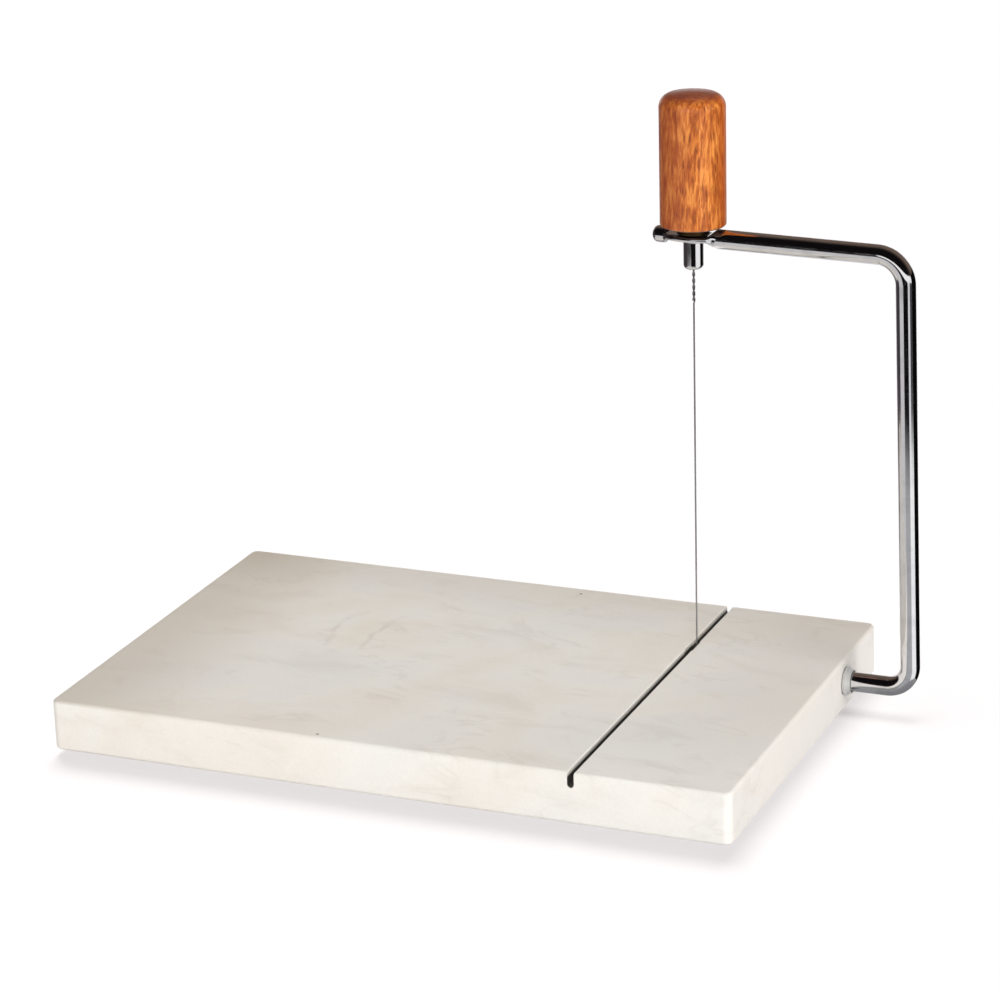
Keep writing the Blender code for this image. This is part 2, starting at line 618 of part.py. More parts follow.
def main():
    """Builds the whole slicer at rest: the arm open, leaning back against its stop."""
    for obj in list(bpy.data.objects):
        bpy.data.objects.remove(obj)
    parts = new_collection("marble_cheese_slicer")
    cutters = new_collection("cutters")

    marble = finish("marble", (0.84, 0.82, 0.78), 0, 0.35)
    chrome = finish("chrome", (0.80, 0.80, 0.82), 1, 0.08)
    steel = finish("wire_steel", (0.62, 0.62, 0.63), 1, 0.3)
    brass = finish("insert_brass", (0.72, 0.60, 0.35), 1, 0.35)
    wood = finish("varnished_wood", (0.76, 0.42, 0.20), 0, 0.4)
    rubber = finish("foot_rubber", (0.35, 0.35, 0.35), 0, 0.8)

    marble_board(parts, cutters, marble)
    pivot_bushing(parts, chrome)
    left, right = SLAB_LEFT + FOOT_INSET, SLAB_RIGHT - FOOT_INSET
    front, back = SLAB_FRONT + FOOT_INSET, SLAB_BACK - FOOT_INSET
    for side, x in (("left", left), ("right", right)):
        for end, y in (("front", front), ("back", back)):
            rubber_foot(f"foot_{end}_{side}", x, y, parts, rubber)

    pivot = place(bpy.data.objects.new("arm_pivot", None), "arm_pivot", parts, location=PIVOT,
                  rotation=(-ARM_LEAN_BACK, 0, 0))
    arm_rod(parts, cutters, pivot, chrome)
    cutting_wire(parts, pivot, steel)
    wire_stop(parts, pivot, steel)
    wire_ferrule(parts, pivot, chrome)
    tension_screw(parts, pivot, steel)
    handle_insert(parts, pivot, brass)
    handle(parts, pivot, wood)


main()
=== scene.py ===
"""Looks of the marble cheese slicer: its pieces in fine mesh, their finishes and a plain pale studio.

Metres, +Z up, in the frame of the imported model, which is loaded first and never moved. The base's pieces are
built where they lie. The arm's pieces are built in the arm's own frame, whose origin is where the wire meets
the pivot's axis, whose X is that axis and whose Z is the wire, and are then moved to where the arm rests.
"""

from __future__ import annotations

import json
import logging
import math
from dataclasses import dataclass
from enum import Enum
from typing import Iterable, Sequence, Union

import bmesh
import bpy
from mathutils import Matrix, Vector

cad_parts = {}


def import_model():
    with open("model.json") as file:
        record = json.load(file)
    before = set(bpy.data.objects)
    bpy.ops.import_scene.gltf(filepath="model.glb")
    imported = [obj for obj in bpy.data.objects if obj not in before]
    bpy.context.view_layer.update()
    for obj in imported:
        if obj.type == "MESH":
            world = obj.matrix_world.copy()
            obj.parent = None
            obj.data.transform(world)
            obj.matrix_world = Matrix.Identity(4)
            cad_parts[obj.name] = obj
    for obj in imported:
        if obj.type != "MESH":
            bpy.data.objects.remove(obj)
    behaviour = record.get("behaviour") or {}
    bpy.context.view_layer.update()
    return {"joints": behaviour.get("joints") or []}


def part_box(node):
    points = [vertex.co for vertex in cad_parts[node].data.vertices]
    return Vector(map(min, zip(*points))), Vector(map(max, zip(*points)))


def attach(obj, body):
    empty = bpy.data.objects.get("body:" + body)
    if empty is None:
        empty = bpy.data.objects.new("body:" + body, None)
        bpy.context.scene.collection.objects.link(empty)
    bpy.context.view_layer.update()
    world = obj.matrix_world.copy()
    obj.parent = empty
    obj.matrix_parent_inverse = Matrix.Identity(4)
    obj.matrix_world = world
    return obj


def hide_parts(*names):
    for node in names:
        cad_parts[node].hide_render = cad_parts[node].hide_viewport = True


LOG = logging.getLogger("cheese_slicer")

FIT_GAP = 0.0003  # between a piece and its seat, or a shaft and its bore
CUT_OVERRUN = 0.002  # how far a cutter runs past the face that it opens
MERGE_DISTANCE = 1e-7
FIND_TOLERANCE = 1e-6
ARC_PROFILE = 0.5  # the bevel profile of a true arc
SMOOTH_ANGLE = math.radians(32)
FULL_TURN = 2 * math.pi
FEET = ("foot_front_left", "foot_front_right", "foot_back_left", "foot_back_right")
NOISE_MIDDLE = 0.5

FLAG_HUB = 0.02  # how far from the arm's upright the flags start
FLAG_REACH = 2.4
FLAG_WALL_TOP = 0.62

Colour = tuple[float, float, float]
Corner = tuple[float, float, float]
Span = tuple[float, float]
Socket = bpy.types.NodeSocket
Input = Union[Socket, float, Sequence[float]]


class Body(Enum):
    """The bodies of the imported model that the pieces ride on."""

    BASE = "base"
    ARM = "arm"
    WIRE = "wire"
    GRIP = "grip"


class Slot(Enum):
    """The record's material slots."""

    MARBLE = "marble"
    CHROME = "chrome"
    WIRE_STEEL = "wire_steel"
    BRASS = "insert_brass"
    WOOD = "varnished_wood"
    RUBBER = "foot_rubber"


class Operation(Enum):
    """The sums that the finishes use."""

    ADD = "ADD"
    SUBTRACT = "SUBTRACT"
    MULTIPLY = "MULTIPLY"
    MAXIMUM = "MAXIMUM"
    ABSOLUTE = "ABSOLUTE"


def linear(colour: Colour) -> tuple[float, float, float, float]:
    """Turns an sRGB colour into linear light.

    Args:
        colour: red, green and blue from 0 to 255.

    Returns:
        Linear red, green and blue from 0 to 1, and full alpha.
    """
    shares = [c / 255 for c in colour]
    return (*(c / 12.92 if c <= 0.04045 else ((c + 0.055) / 1.055) ** 2.4 for c in shares), 1.0)


class Recipe:
    """A material's node tree, with short calls for the nodes that the finishes share."""

    def __init__(self, name: str) -> None:
        """Starts a material.

        Args:
            name: the material's name.
        """
        self.material = bpy.data.materials.new(name)
        self.material.use_nodes = True
        self.nodes = self.material.node_tree.nodes
        self.links = self.material.node_tree.links
        self.shader = self.nodes["Principled BSDF"]
        self.coordinates = self.nodes.new("ShaderNodeTexCoord").outputs["Object"]

    def feed(self, socket: Socket, value: Input) -> None:
        """Links a socket into another, or sets it.

        Args:
            socket: the input to fill.
            value: an output to link from, or a plain value.
        """
        if isinstance(value, Socket):
            self.links.new(value, socket)
        else:
            socket.default_value = value

    def placed(self, centre: Sequence[float] = (0, 0, 0), turn: Sequence[float] = (0, 0, 0),
               length: Sequence[float] = (1, 1, 1)) -> Socket:
        """Object coordinates for a pattern that is moved, turned and drawn out.

        Args:
            centre: the point that becomes the pattern's origin.
            turn: the pattern's turn about each axis, in radians.
            length: how many times the pattern is drawn out along each of its own axes.

        Returns:
            The vector socket.
        """
        node = self.nodes.new("ShaderNodeMapping")
        node.vector_type = "TEXTURE"
        self.feed(node.inputs["Vector"], self.coordinates)
        node.inputs["Location"].default_value = centre
        node.inputs["Rotation"].default_value = turn
        node.inputs["Scale"].default_value = length
        return node.outputs["Vector"]

    def axis(self, vector: Socket, name: str) -> Socket:
        """One coordinate, X, Y or Z, of a vector.

        Args:
            vector: the vector.
            name: X, Y or Z.

        Returns:
            The coordinate.
        """
        node = self.nodes.new("ShaderNodeSeparateXYZ")
        self.feed(node.inputs["Vector"], vector)
        return node.outputs[name]

    def distance(self, vector: Socket) -> Socket:
        """A vector's length.

        Args:
            vector: the vector.

        Returns:
            Its length.
        """
        node = self.nodes.new("ShaderNodeVectorMath")
        node.operation = "LENGTH"
        self.feed(node.inputs[0], vector)
        return node.outputs["Value"]

    def noise(self, at: Socket, scale: float, detail: float = 3.0, roughness: float = 0.5,
              distortion: float = 0.0) -> Socket:
        """A cloud noise of about 0 to 1, whose middle is 0.5.

        Args:
            at: the place.
            scale: how many clouds fit in a metre.
            detail: how many finer layers it has.
            roughness: how strong the finer layers are.
            distortion: how far it is stirred.

        Returns:
            The noise.
        """
        node = self.nodes.new("ShaderNodeTexNoise")
        self.feed(node.inputs["Vector"], at)
        node.inputs["Scale"].default_value = scale
        node.inputs["Detail"].default_value = detail
        node.inputs["Roughness"].default_value = roughness
        node.inputs["Distortion"].default_value = distortion
        return node.outputs["Fac"]

    def cells(self, at: Socket, scale: float) -> tuple[Socket, Socket]:
        """The distance to the nearest of scattered points, and a random value for each point.

        Args:
            at: the place.
            scale: how many points fit in a metre.

        Returns:
            The distance and the value.
        """
        node = self.nodes.new("ShaderNodeTexVoronoi")
        self.feed(node.inputs["Vector"], at)
        node.inputs["Scale"].default_value = scale
        chosen = self.nodes.new("ShaderNodeSeparateColor")
        self.feed(chosen.inputs["Color"], node.outputs["Color"])
        return node.outputs["Distance"], chosen.outputs["Red"]

    def level(self, value: Socket, start: float, end: float, low: float = 0.0,
              high: float = 1.0) -> Socket:
        """Maps a value smoothly from start..end to low..high, and holds it beyond.

        Args:
            value: the value.
            start: where the change starts.
            end: where it ends.
            low: the result at the start.
            high: the result at the end.

        Returns:
            The result.
        """
        node = self.nodes.new("ShaderNodeMapRange")
        node.interpolation_type = "SMOOTHSTEP"
        self.feed(node.inputs["Value"], value)
        for name, setting in (("From Min", start), ("From Max", end), ("To Min", low), ("To Max", high)):
            node.inputs[name].default_value = setting
        return node.outputs["Result"]

    def _maths(self, operation: Operation, first: Input, second: Input = 0.0) -> Socket:
        """Works out one value from two.

        Args:
            operation: the sum to do.
            first: the first value.
            second: the second value.

        Returns:
            The result.
        """
        node = self.nodes.new("ShaderNodeMath")
        node.operation = operation.value
        self.feed(node.inputs[0], first)
        self.feed(node.inputs[1], second)
        return node.outputs["Value"]

    def plus(self, first: Input, second: Input) -> Socket:
        """The sum of two values."""
        return self._maths(Operation.ADD, first, second)

    def minus(self, first: Input, second: Input) -> Socket:
        """The first value less the second."""
        return self._maths(Operation.SUBTRACT, first, second)

    def times(self, first: Input, second: Input) -> Socket:
        """The product of two values."""
        return self._maths(Operation.MULTIPLY, first, second)

    def larger(self, first: Input, second: Input) -> Socket:
        """The larger of two values."""
        return self._maths(Operation.MAXIMUM, first, second)

    def absolute(self, value: Input) -> Socket:
        """A value without its sign."""
        return self._maths(Operation.ABSOLUTE, value)

    def ridge(self, value: Socket, width: float) -> Socket:
        """A thin wandering line: 1 where a noise crosses its middle, 0 at this distance from it."""
        return self.level(self.absolute(self.minus(value, NOISE_MIDDLE)), 0.0, width, 1.0, 0.0)

    def blend(self, share: Input, first: Input, second: Input) -> Socket:
        """Blends two colours. The share is how much of the second shows.

        Args:
            share: from 0 to 1.
            first: the first colour.
            second: the second colour.

        Returns:
            The blend.
        """
        node = self.nodes.new("ShaderNodeMix")
        node.data_type = "RGBA"
        self.feed(node.inputs["Factor"], share)
        self.feed(node.inputs["A"], first)
        self.feed(node.inputs["B"], second)
        return node.outputs["Result"]

    def ramp(self, value: Socket, stops: Iterable[tuple[float, Colour]]) -> Socket:
        """A colour ramp through sRGB stops.

        Args:
            value: the place on the ramp.
            stops: each stop's place and colour.

        Returns:
            The colour.
        """
        node = self.nodes.new("ShaderNodeValToRGB")
        self.feed(node.inputs["Fac"], value)
        points = list(stops)
        elements = node.color_ramp.elements
        while len(elements) < len(points):
            elements.new(1.0)
        for element, (position, colour) in zip(elements, points):
            element.position = position
            element.color = linear(colour)
        return node.outputs["Color"]

    def bump(self, height: Socket, strength: float, depth: float) -> None:
        """Gives the shader a bump of this strength and depth in metres.

        Args:
            height: the bump's height, from 0 to 1.
            strength: its strength, from 0 to 1.
            depth: its depth in metres.
        """
        node = self.nodes.new("ShaderNodeBump")
        self.feed(node.inputs["Height"], height)
        node.inputs["Strength"].default_value = strength
        node.inputs["Distance"].default_value = depth
        self.feed(self.shader.inputs["Normal"], node.outputs["Normal"])

    def shade(self, **sockets: Input) -> None:
        """Fills the shader's inputs. A name's underscores stand for spaces."""
        for name, value in sockets.items():
            self.feed(self.shader.inputs[name.replace("_", " ")], value)


@dataclass(frozen=True)
class MarbleFinish:
    """Honed pale marble: soft clouds and smears, short faint strokes, a curved seam, pits and a fine grain.

    Painted shade darkens the top a little towards its left end, its back and its right end, a painted
    highlight lightens a front corner of the top, and painted shade darkens the groove deep down. The spans of
    the painted shade and highlight are shares of half the slab's length or depth, from its middle.
    """

    board_low: Vector
    board_high: Vector
    groove_at: float
    warm: Colour = (226, 219, 210)
    pale: Colour = (229, 224, 217)
    cool: Colour = (226, 222, 218)
    # shade is the darker stone of the smears, and also the colour of the painted shade over the top; light is
    # the colour of the painted highlight on a front corner of the top
    shade: Colour = (190, 180, 166)
    light: Colour = (242, 238, 232)
    vein: Colour = (170, 158, 140)
    seam: Colour = (222, 210, 184)
    pit: Colour = (112, 100, 90)
    # the colour of the painted shade deep in the groove
    groove_painted_shade: Colour = (58, 52, 46)
    cloud_rate: float = 14.0
    cloud_turn: Sequence[float] = (0.35, 0.2, 0.6)
    cloud_length: Sequence[float] = (1.0, 0.65, 1.0)
    cloud_stops: Sequence[float] = (0.36, 0.5, 0.64)
    smear_rate: float = 70.0
    smear_turn: Sequence[float] = (0.1, 0.1, -0.15)
    smear_length: float = 2.6
    smear_from: Span = (0.5, 0.7)
    smear_share: float = 0.18
    stroke_rate: float = 75.0
    stroke_width: float = 0.05
    stroke_share: float = 0.13
    patch_rate: float = 55.0
    patch_from: Span = (0.5, 0.62)
    # painted shade over the top's left end, back and right end, and a painted highlight on a front corner of
    # the top; the side faces get side_share of them
    left_painted_shade: float = 0.65
    left_span: Span = (-1.0, -0.5)
    back_painted_shade: float = 0.32
    back_span: Span = (0.45, 1.0)
    right_painted_shade: float = 0.24
    right_span: Span = (0.5, 0.9)
    right_depth_span: Span = (-0.7, 0.0)
    corner_painted_light: float = 0.6
    corner_span: Span = (0.35, 0.65)
    corner_depth_span: Span = (-0.9, -0.4)
    side_share: float = 0.15
    top_layer: float = 0.0011
    # the painted shade deep in the groove, between these depths below the top
    groove_half: float = 0.0014
    groove_light_to: float = 0.0012
    groove_dark_from: float = 0.0019
    groove_dark_to: float = 0.012
    groove_edge: float = 0.0003
    groove_share: float = 0.9
    seam_middle: Sequence[float] = (-0.058, 0.014, 0.0)
    seam_size: Sequence[float] = (0.0075, 0.022, 1.0)
    seam_reach: float = 0.03
    seam_arcs: Sequence[Corner] = ((-0.0347, 0.0143, 0.0322), (-0.013, 0.0115, 0.0397))  # x, y, radius
    seam_width: float = 0.0019
    seam_wobble: float = 0.006
    seam_wobble_rate: float = 120.0
    seam_patch_from: Span = (0.2, 1.0)
    seam_patch_share: float = 0.24
    seam_full_share: float = 0.6  # of its reach
    seam_break_rate: float = 130.0
    seam_break_from: Span = (0.35, 0.6)
    seam_line_share: Span = (0.08, 0.34)
    pit_rate: float = 60.0
    pit_radius: float = 0.05
    pit_chance: Span = (0.955, 0.96)
    grain_rate: float = 1500.0
    grain_from: Span = (0.3, 0.7)
    grain_share: float = 0.06
    grain_height: float = 0.08
    roughness: float = 0.42
    roughness_spread: float = 0.05
    specular: float = 0.2
    bump_strength: float = 0.35
    bump_depth: float = 0.0002

    def _painted_falloff(self, recipe: Recipe, base: Socket) -> Socket:
        """Paints shade on the left, back and right of the top, less on the sides, and a highlight on a front
        corner.

        Args:
            recipe: the marble's recipe.
            base: the colour so far.

        Returns:
            The colour with the painted shade and highlight.
        """
        half = (self.board_high - self.board_low) / 2
        at = recipe.placed((self.board_low + self.board_high) / 2)

        def along(span: Span, low: float, high: float) -> Socket:
            """A level that changes over a span of the slab's length."""
            return recipe.level(recipe.axis(at, "X"), span[0] * half.x, span[1] * half.x, low, high)

        def deep(span: Span, low: float, high: float) -> Socket:
            """A level that changes over a span of the slab's depth."""
            return recipe.level(recipe.axis(at, "Y"), span[0] * half.y, span[1] * half.y, low, high)

        # painted shade towards the ends and back of the top
        left = along(self.left_span, self.left_painted_shade, 0.0)
        right = recipe.times(deep(self.right_depth_span, 0.0, 1.0),
                             along(self.right_span, 0.0, self.right_painted_shade))
        most = recipe.plus(recipe.larger(left, right), deep(self.back_span, 0.0, self.back_painted_shade))
        on_top = recipe.level(recipe.axis(at, "Z"), half.z - self.top_layer, half.z, self.side_share, 1.0)
        shaded = recipe.blend(recipe.times(most, on_top), base, linear(self.shade))
        # painted highlight on a front corner of the top
        corner = recipe.times(along(self.corner_span, 0.0, self.corner_painted_light),
                              deep(self.corner_depth_span, 1.0, 0.0))
        return recipe.blend(recipe.times(corner, on_top), shaded, linear(self.light))

    def _seam(self, recipe: Recipe, base: Socket) -> Socket:
        """Adds the seam: two faint arcs with a warmer patch between them.

        Args:
            recipe: the marble's recipe.
            base: the colour so far.

        Returns:
            The colour with the seam.
        """
        plain = recipe.placed()
        within = recipe.distance(recipe.placed(self.seam_middle, length=self.seam_size))
        colour = recipe.blend(recipe.level(within, *self.seam_patch_from, self.seam_patch_share, 0.0), base,
                              linear(self.seam))
        wobble = recipe.times(recipe.noise(plain, self.seam_wobble_rate, 3.0), self.seam_wobble)
        near = recipe.level(recipe.distance(recipe.placed(self.seam_middle)),
                            self.seam_full_share * self.seam_reach, self.seam_reach, 1.0, 0.0)
        broken = recipe.level(recipe.noise(plain, self.seam_break_rate, 2.0), *self.seam_break_from,
                              *self.seam_line_share)
        for x, y, radius in self.seam_arcs:
            away = recipe.distance(recipe.placed((x, y, self.board_high.z)))
            wobbled = recipe.minus(recipe.plus(away, wobble), radius + self.seam_wobble / 2)
            line = recipe.level(recipe.absolute(wobbled), 0.0, self.seam_width, 1.0, 0.0)
            shown = recipe.times(recipe.times(line, near), broken)
            colour = recipe.blend(shown, colour, linear(self.vein))
        return colour

    def _groove(self, recipe: Recipe, base: Socket) -> Socket:
        """Paints shade on the stone deep in the groove.

        Args:
            recipe: the marble's recipe.
            base: the colour so far.

        Returns:
            The colour with the painted shade.
        """
        at = recipe.placed((self.groove_at, 0, self.board_high.z))
        aside = recipe.absolute(recipe.axis(at, "X"))
        within = recipe.level(aside, self.groove_half, self.groove_half + self.groove_edge, 1.0, 0.0)
        lengthwise = recipe.absolute(recipe.axis(at, "Y"))
        inside = recipe.level(lengthwise, self.board_high.y - self.groove_edge, self.board_high.y, 1.0, 0.0)
        height = recipe.axis(at, "Z")
        deep = recipe.level(height, -self.groove_dark_from, -self.groove_light_to, self.groove_share, 0.0)
        above_floor = recipe.level(height, -self.groove_dark_to, self.groove_edge - self.groove_dark_to)
        share = recipe.times(recipe.times(within, inside), recipe.times(deep, above_floor))
        return recipe.blend(share, base, linear(self.groove_painted_shade))

    def material(self) -> bpy.types.Material:
        """Builds the marble.

        Returns:
            The material.
        """
        recipe = Recipe("honed_marble")
        plain = recipe.placed()
        slanted = recipe.placed(turn=self.cloud_turn, length=self.cloud_length)
        lengthwise = recipe.placed(turn=self.smear_turn, length=(self.smear_length, 1.0, 1.0))
        cloud = recipe.noise(slanted, self.cloud_rate, 4.0, 0.55, 0.4)
        base = recipe.ramp(cloud, zip(self.cloud_stops, (self.warm, self.pale, self.cool)))
        # painted shade and painted highlight over the top
        with_painted_falloff = self._painted_falloff(recipe, base)
        smear = recipe.noise(lengthwise, self.smear_rate, 4.0, 0.6, 0.6)
        smeared = recipe.blend(recipe.level(smear, *self.smear_from, 0.0, self.smear_share), with_painted_falloff,
                               linear(self.shade))
        stroke = recipe.ridge(recipe.noise(lengthwise, self.stroke_rate, 2.0, 0.5, 1.2), self.stroke_width)
        patches = recipe.level(recipe.noise(plain, self.patch_rate, 2.0), *self.patch_from, 0.0,
                               self.stroke_share)
        stroked = recipe.blend(recipe.times(stroke, patches), smeared, linear(self.vein))
        seamed = self._seam(recipe, stroked)
        distance, chance = recipe.cells(plain, self.pit_rate)
        near = recipe.level(distance, self.pit_radius * 0.5, self.pit_radius, 1.0, 0.0)
        pits = recipe.times(near, recipe.level(chance, *self.pit_chance))
        grain = recipe.noise(plain, self.grain_rate, 2.0)
        speckled = recipe.blend(recipe.level(grain, *self.grain_from, 0.0, self.grain_share), seamed,
                                linear(self.vein))
        pitted = recipe.blend(pits, speckled, linear(self.pit))
        rough = recipe.level(grain, *self.grain_from, self.roughness - self.roughness_spread,
                             self.roughness + self.roughness_spread)
        # the groove's painted shade goes on last
        recipe.shade(Base_Color=self._groove(recipe, pitted), Roughness=rough,
                     Specular_IOR_Level=self.specular)
        relief = recipe.minus(recipe.times(grain, self.grain_height), pits)
        recipe.bump(relief, self.bump_strength, self.bump_depth)
        return recipe.material


@dataclass(frozen=True)
class WoodFinish:
    """Turned reddish wood under a satin varnish: short streaks and pores along the grain, darker end grain.

    One side of the piece of wood is redder and the other more orange, and its foot darker: all painted shade.
    """

    low: Vector
    high: Vector
    side_turn: float = math.radians(23.421)  # from the handle's X to the middle of the orange side
    dark: Colour = (136, 62, 18)
    middle: Colour = (184, 98, 34)
    light: Colour = (220, 138, 62)
    pore: Colour = (96, 42, 12)
    # painted shade: one side of the handle redder and the opposite side deep orange, both darker than the
    # middle
    red_side_painted_shade: Colour = (140, 56, 38)
    orange_side_painted_shade: Colour = (178, 74, 10)
    end_grain: Colour = (112, 44, 34)
    # the colour of the painted shade at the handle's foot
    foot_painted_shade: Colour = (52, 22, 12)
    streak_length: float = 7.0
    pore_length: float = 7.0
    figure_length: float = 3.6
    streak_rate: float = 1150.0
    figure_rate: float = 330.0
    pore_rate: float = 1150.0
    grain_turn: Sequence[float] = (0, 0.04, 0.5)
    streak_weight: float = 0.68
    figure_weight: float = 0.32
    tone_stops: Sequence[float] = (0.39, 0.5, 0.6)
    red_span: Span = (-1.0, 0.2)  # in radii from the handle's middle, as the next
    orange_span: Span = (0.68, 0.84)
    red_share: float = 0.44
    orange_share: float = 0.55
    pore_reach: Span = (0.1, 0.4)
    pore_chance: Span = (0.55, 0.75)
    pore_share: float = 0.8
    end_grain_depth: Span = (0.0028, 0.0004)
    end_grain_share: float = 0.75
    foot_height: Span = (0.0004, 0.0009)
    foot_share: float = 0.9
    streak_from: Span = (0.35, 0.65)
    streak_height: float = 0.4
    roughness: float = 0.34
    roughness_changes: Span = (0.06, -0.04)
    coat: float = 0.35
    coat_roughness: float = 0.22
    bump_strength: float = 0.3
    bump_depth: float = 0.0001

    def material(self) -> bpy.types.Material:
        """Builds the wood.

        Returns:
            The material.
        """
        recipe = Recipe("varnished_wood")
        centre = (self.low + self.high) / 2
        radius = (self.high.x - self.low.x) / 2
        streak_at = recipe.placed(centre, self.grain_turn, (1, 1, self.streak_length))
        pore_at = recipe.placed(centre, self.grain_turn, (1, 1, self.pore_length))
        figure_at = recipe.placed(centre, (0, 0, 0), (1, 1, self.figure_length))
        streak = recipe.noise(streak_at, self.streak_rate, 4.0, 0.65, 0.5)
        figure = recipe.noise(figure_at, self.figure_rate, 3.0, 0.55, 0.5)
        tone = recipe.plus(recipe.times(streak, self.streak_weight),
                           recipe.times(figure, self.figure_weight))
        base = recipe.ramp(tone, zip(self.tone_stops, (self.dark, self.middle, self.light)))
        # painted shade on the two sides of the handle
        across = recipe.axis(recipe.placed(centre, (0, 0, self.side_turn)), "X")
        red = recipe.level(across, *(share * radius for share in self.red_span), self.red_share, 0.0)
        orange = recipe.level(across, *(share * radius for share in self.orange_span), 0.0,
                              self.orange_share)
        reddened = recipe.blend(red, base, linear(self.red_side_painted_shade))
        sided = recipe.blend(orange, reddened, linear(self.orange_side_painted_shade))
        distance, chance = recipe.cells(pore_at, self.pore_rate)
        near = recipe.level(distance, *self.pore_reach, 1.0, 0.0)
        pores = recipe.times(near, recipe.level(chance, *self.pore_chance, 0.0, self.pore_share))
        pored = recipe.blend(pores, sided, linear(self.pore))
        height = recipe.axis(recipe.coordinates, "Z")
        top = recipe.level(height, *(self.high.z - depth for depth in self.end_grain_depth), 0.0,
                           self.end_grain_share)
        topped = recipe.blend(top, pored, linear(self.end_grain))
        # painted shade at the bottom of the handle, fading out within a millimetre of its foot
        foot = recipe.level(height, *(self.low.z + rise for rise in self.foot_height), self.foot_share, 0.0)
        rough = recipe.level(streak, *self.streak_from,
                             *(self.roughness + change for change in self.roughness_changes))
        recipe.shade(Base_Color=recipe.blend(foot, topped, linear(self.foot_painted_shade)), Roughness=rough,
                     Coat_Weight=self.coat, Coat_Roughness=self.coat_roughness)
        relief = recipe.minus(recipe.times(streak, self.streak_height), pores)
        recipe.bump(relief, self.bump_strength, self.bump_depth)
        return recipe.material


@dataclass(frozen=True)
class MetalFinish:
    """Bare or plated metal: a mirror or a drawn surface with faint smudges."""

    name: str
    colour: Colour
    roughness: float
    smudge: float
    smudge_rate: float = 160.0
    length: Sequence[float] = (1, 1, 1)
    metallic: float = 1.0
    rough_from: Span = (0.35, 0.7)
    tint_from: Span = (0.4, 0.75)
    smudge_tint: float = 0.94

    def material(self) -> bpy.types.Material:
        """Builds the metal.

        Returns:
            The material.
        """
        recipe = Recipe(self.name)
        at = recipe.placed(length=self.length)
        cloud = recipe.noise(at, self.smudge_rate, 4.0, 0.6)
        rough = recipe.level(cloud, *self.rough_from, self.roughness, self.roughness + self.smudge)
        tint = tuple(c * self.smudge_tint for c in self.colour)
        tone = recipe.blend(recipe.level(cloud, *self.tint_from), linear(self.colour), linear(tint))
        recipe.shade(Base_Color=tone, Roughness=rough, Metallic=self.metallic)
        return recipe.material


@dataclass(frozen=True)
class RubberFinish:
    """Matt grey rubber with a fine moulded grain and a little dust."""

    colour: Colour = (92, 92, 90)
    dusty: Colour = (128, 126, 120)
    roughness: float = 0.8
    dusty_roughness: float = 0.92
    dust_rate: float = 400.0
    dust_from: Span = (0.45, 0.75)
    dust_share: float = 0.6
    grain_rate: float = 3200.0
    bump_strength: float = 0.4
    bump_depth: float = 0.00008

    def material(self) -> bpy.types.Material:
        """Builds the rubber.

        Returns:
            The material.
        """
        recipe = Recipe("foot_rubber")
        plain = recipe.placed()
        cloud = recipe.noise(plain, self.dust_rate, 4.0, 0.65)
        dust = recipe.level(cloud, *self.dust_from, 0.0, self.dust_share)
        recipe.shade(Base_Color=recipe.blend(dust, linear(self.colour), linear(self.dusty)),
                     Roughness=recipe.level(dust, 0.0, self.dust_share, self.roughness, self.dusty_roughness))
        recipe.bump(recipe.noise(plain, self.grain_rate, 2.0), self.bump_strength, self.bump_depth)
        return recipe.material


@dataclass(frozen=True)
class Finishes:
    """One material for each of the record's slots."""

    marble: bpy.types.Material
    chrome: bpy.types.Material
    satin: bpy.types.Material
    wire_steel: bpy.types.Material
    brass: bpy.types.Material
    wood: bpy.types.Material
    rubber: bpy.types.Material


def as_object(name: str, form: bmesh.types.BMesh, matrix: Matrix | None = None) -> bpy.types.Object:
    """Makes an object at the origin from a bmesh, with its place in its mesh.

    Args:
        name: the object's name.
        form: the bmesh, which is freed.
        matrix: where the form goes, if it isn't there yet.

    Returns:
        The new object, linked to the scene.
    """
    if matrix is not None:
        bmesh.ops.transform(form, matrix=matrix, verts=form.verts)
    mesh = bpy.data.meshes.new(name)
    form.to_mesh(mesh)
    form.free()
    made = bpy.data.objects.new(name, mesh)
    bpy.context.scene.collection.objects.link(made)
    return made


def carve(piece: bpy.types.Object, cutters: Sequence[bpy.types.Object]) -> None:
    """Cuts the cutters out of a piece, and removes them.

    Args:
        piece: the object to cut.
        cutters: closed objects.
    """
    for cutter in cutters:
        modifier = piece.modifiers.new(cutter.name, "BOOLEAN")
        modifier.operation = "DIFFERENCE"
        modifier.solver = "EXACT"
        modifier.object = cutter
    bpy.context.view_layer.update()
    evaluated = piece.evaluated_get(bpy.context.evaluated_depsgraph_get())
    carved = bpy.data.meshes.new_from_object(evaluated)
    piece.modifiers.clear()
    piece.data = carved
    for cutter in cutters:
        bpy.data.objects.remove(cutter)


def dress(piece: bpy.types.Object, material: bpy.types.Material, body: Body, node: str,
          even_faces: bool = True) -> bpy.types.Object:
    """Finishes a piece: its material, shading, body, slot and the node that it stands for.

    Args:
        piece: the object.
        material: its material.
        body: the body that it rides on.
        node: the model's node that it replaces.
        even_faces: whether large faces keep their own direction beside small roundings.

    Returns:
        The same object.
    """
    piece.data.materials.clear()
    piece.data.materials.append(material)
    piece.data.shade_smooth()
    piece.data.set_sharp_from_angle(angle=SMOOTH_ANGLE)
    if even_faces:
        weighted = piece.modifiers.new("even_faces", "WEIGHTED_NORMAL")
        weighted.keep_sharp = True
    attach(piece, body.value)
    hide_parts(node)
    LOG.info("%s: %d faces, on %s, for %s", piece.name, len(piece.data.polygons), body.value, node)
    return piece


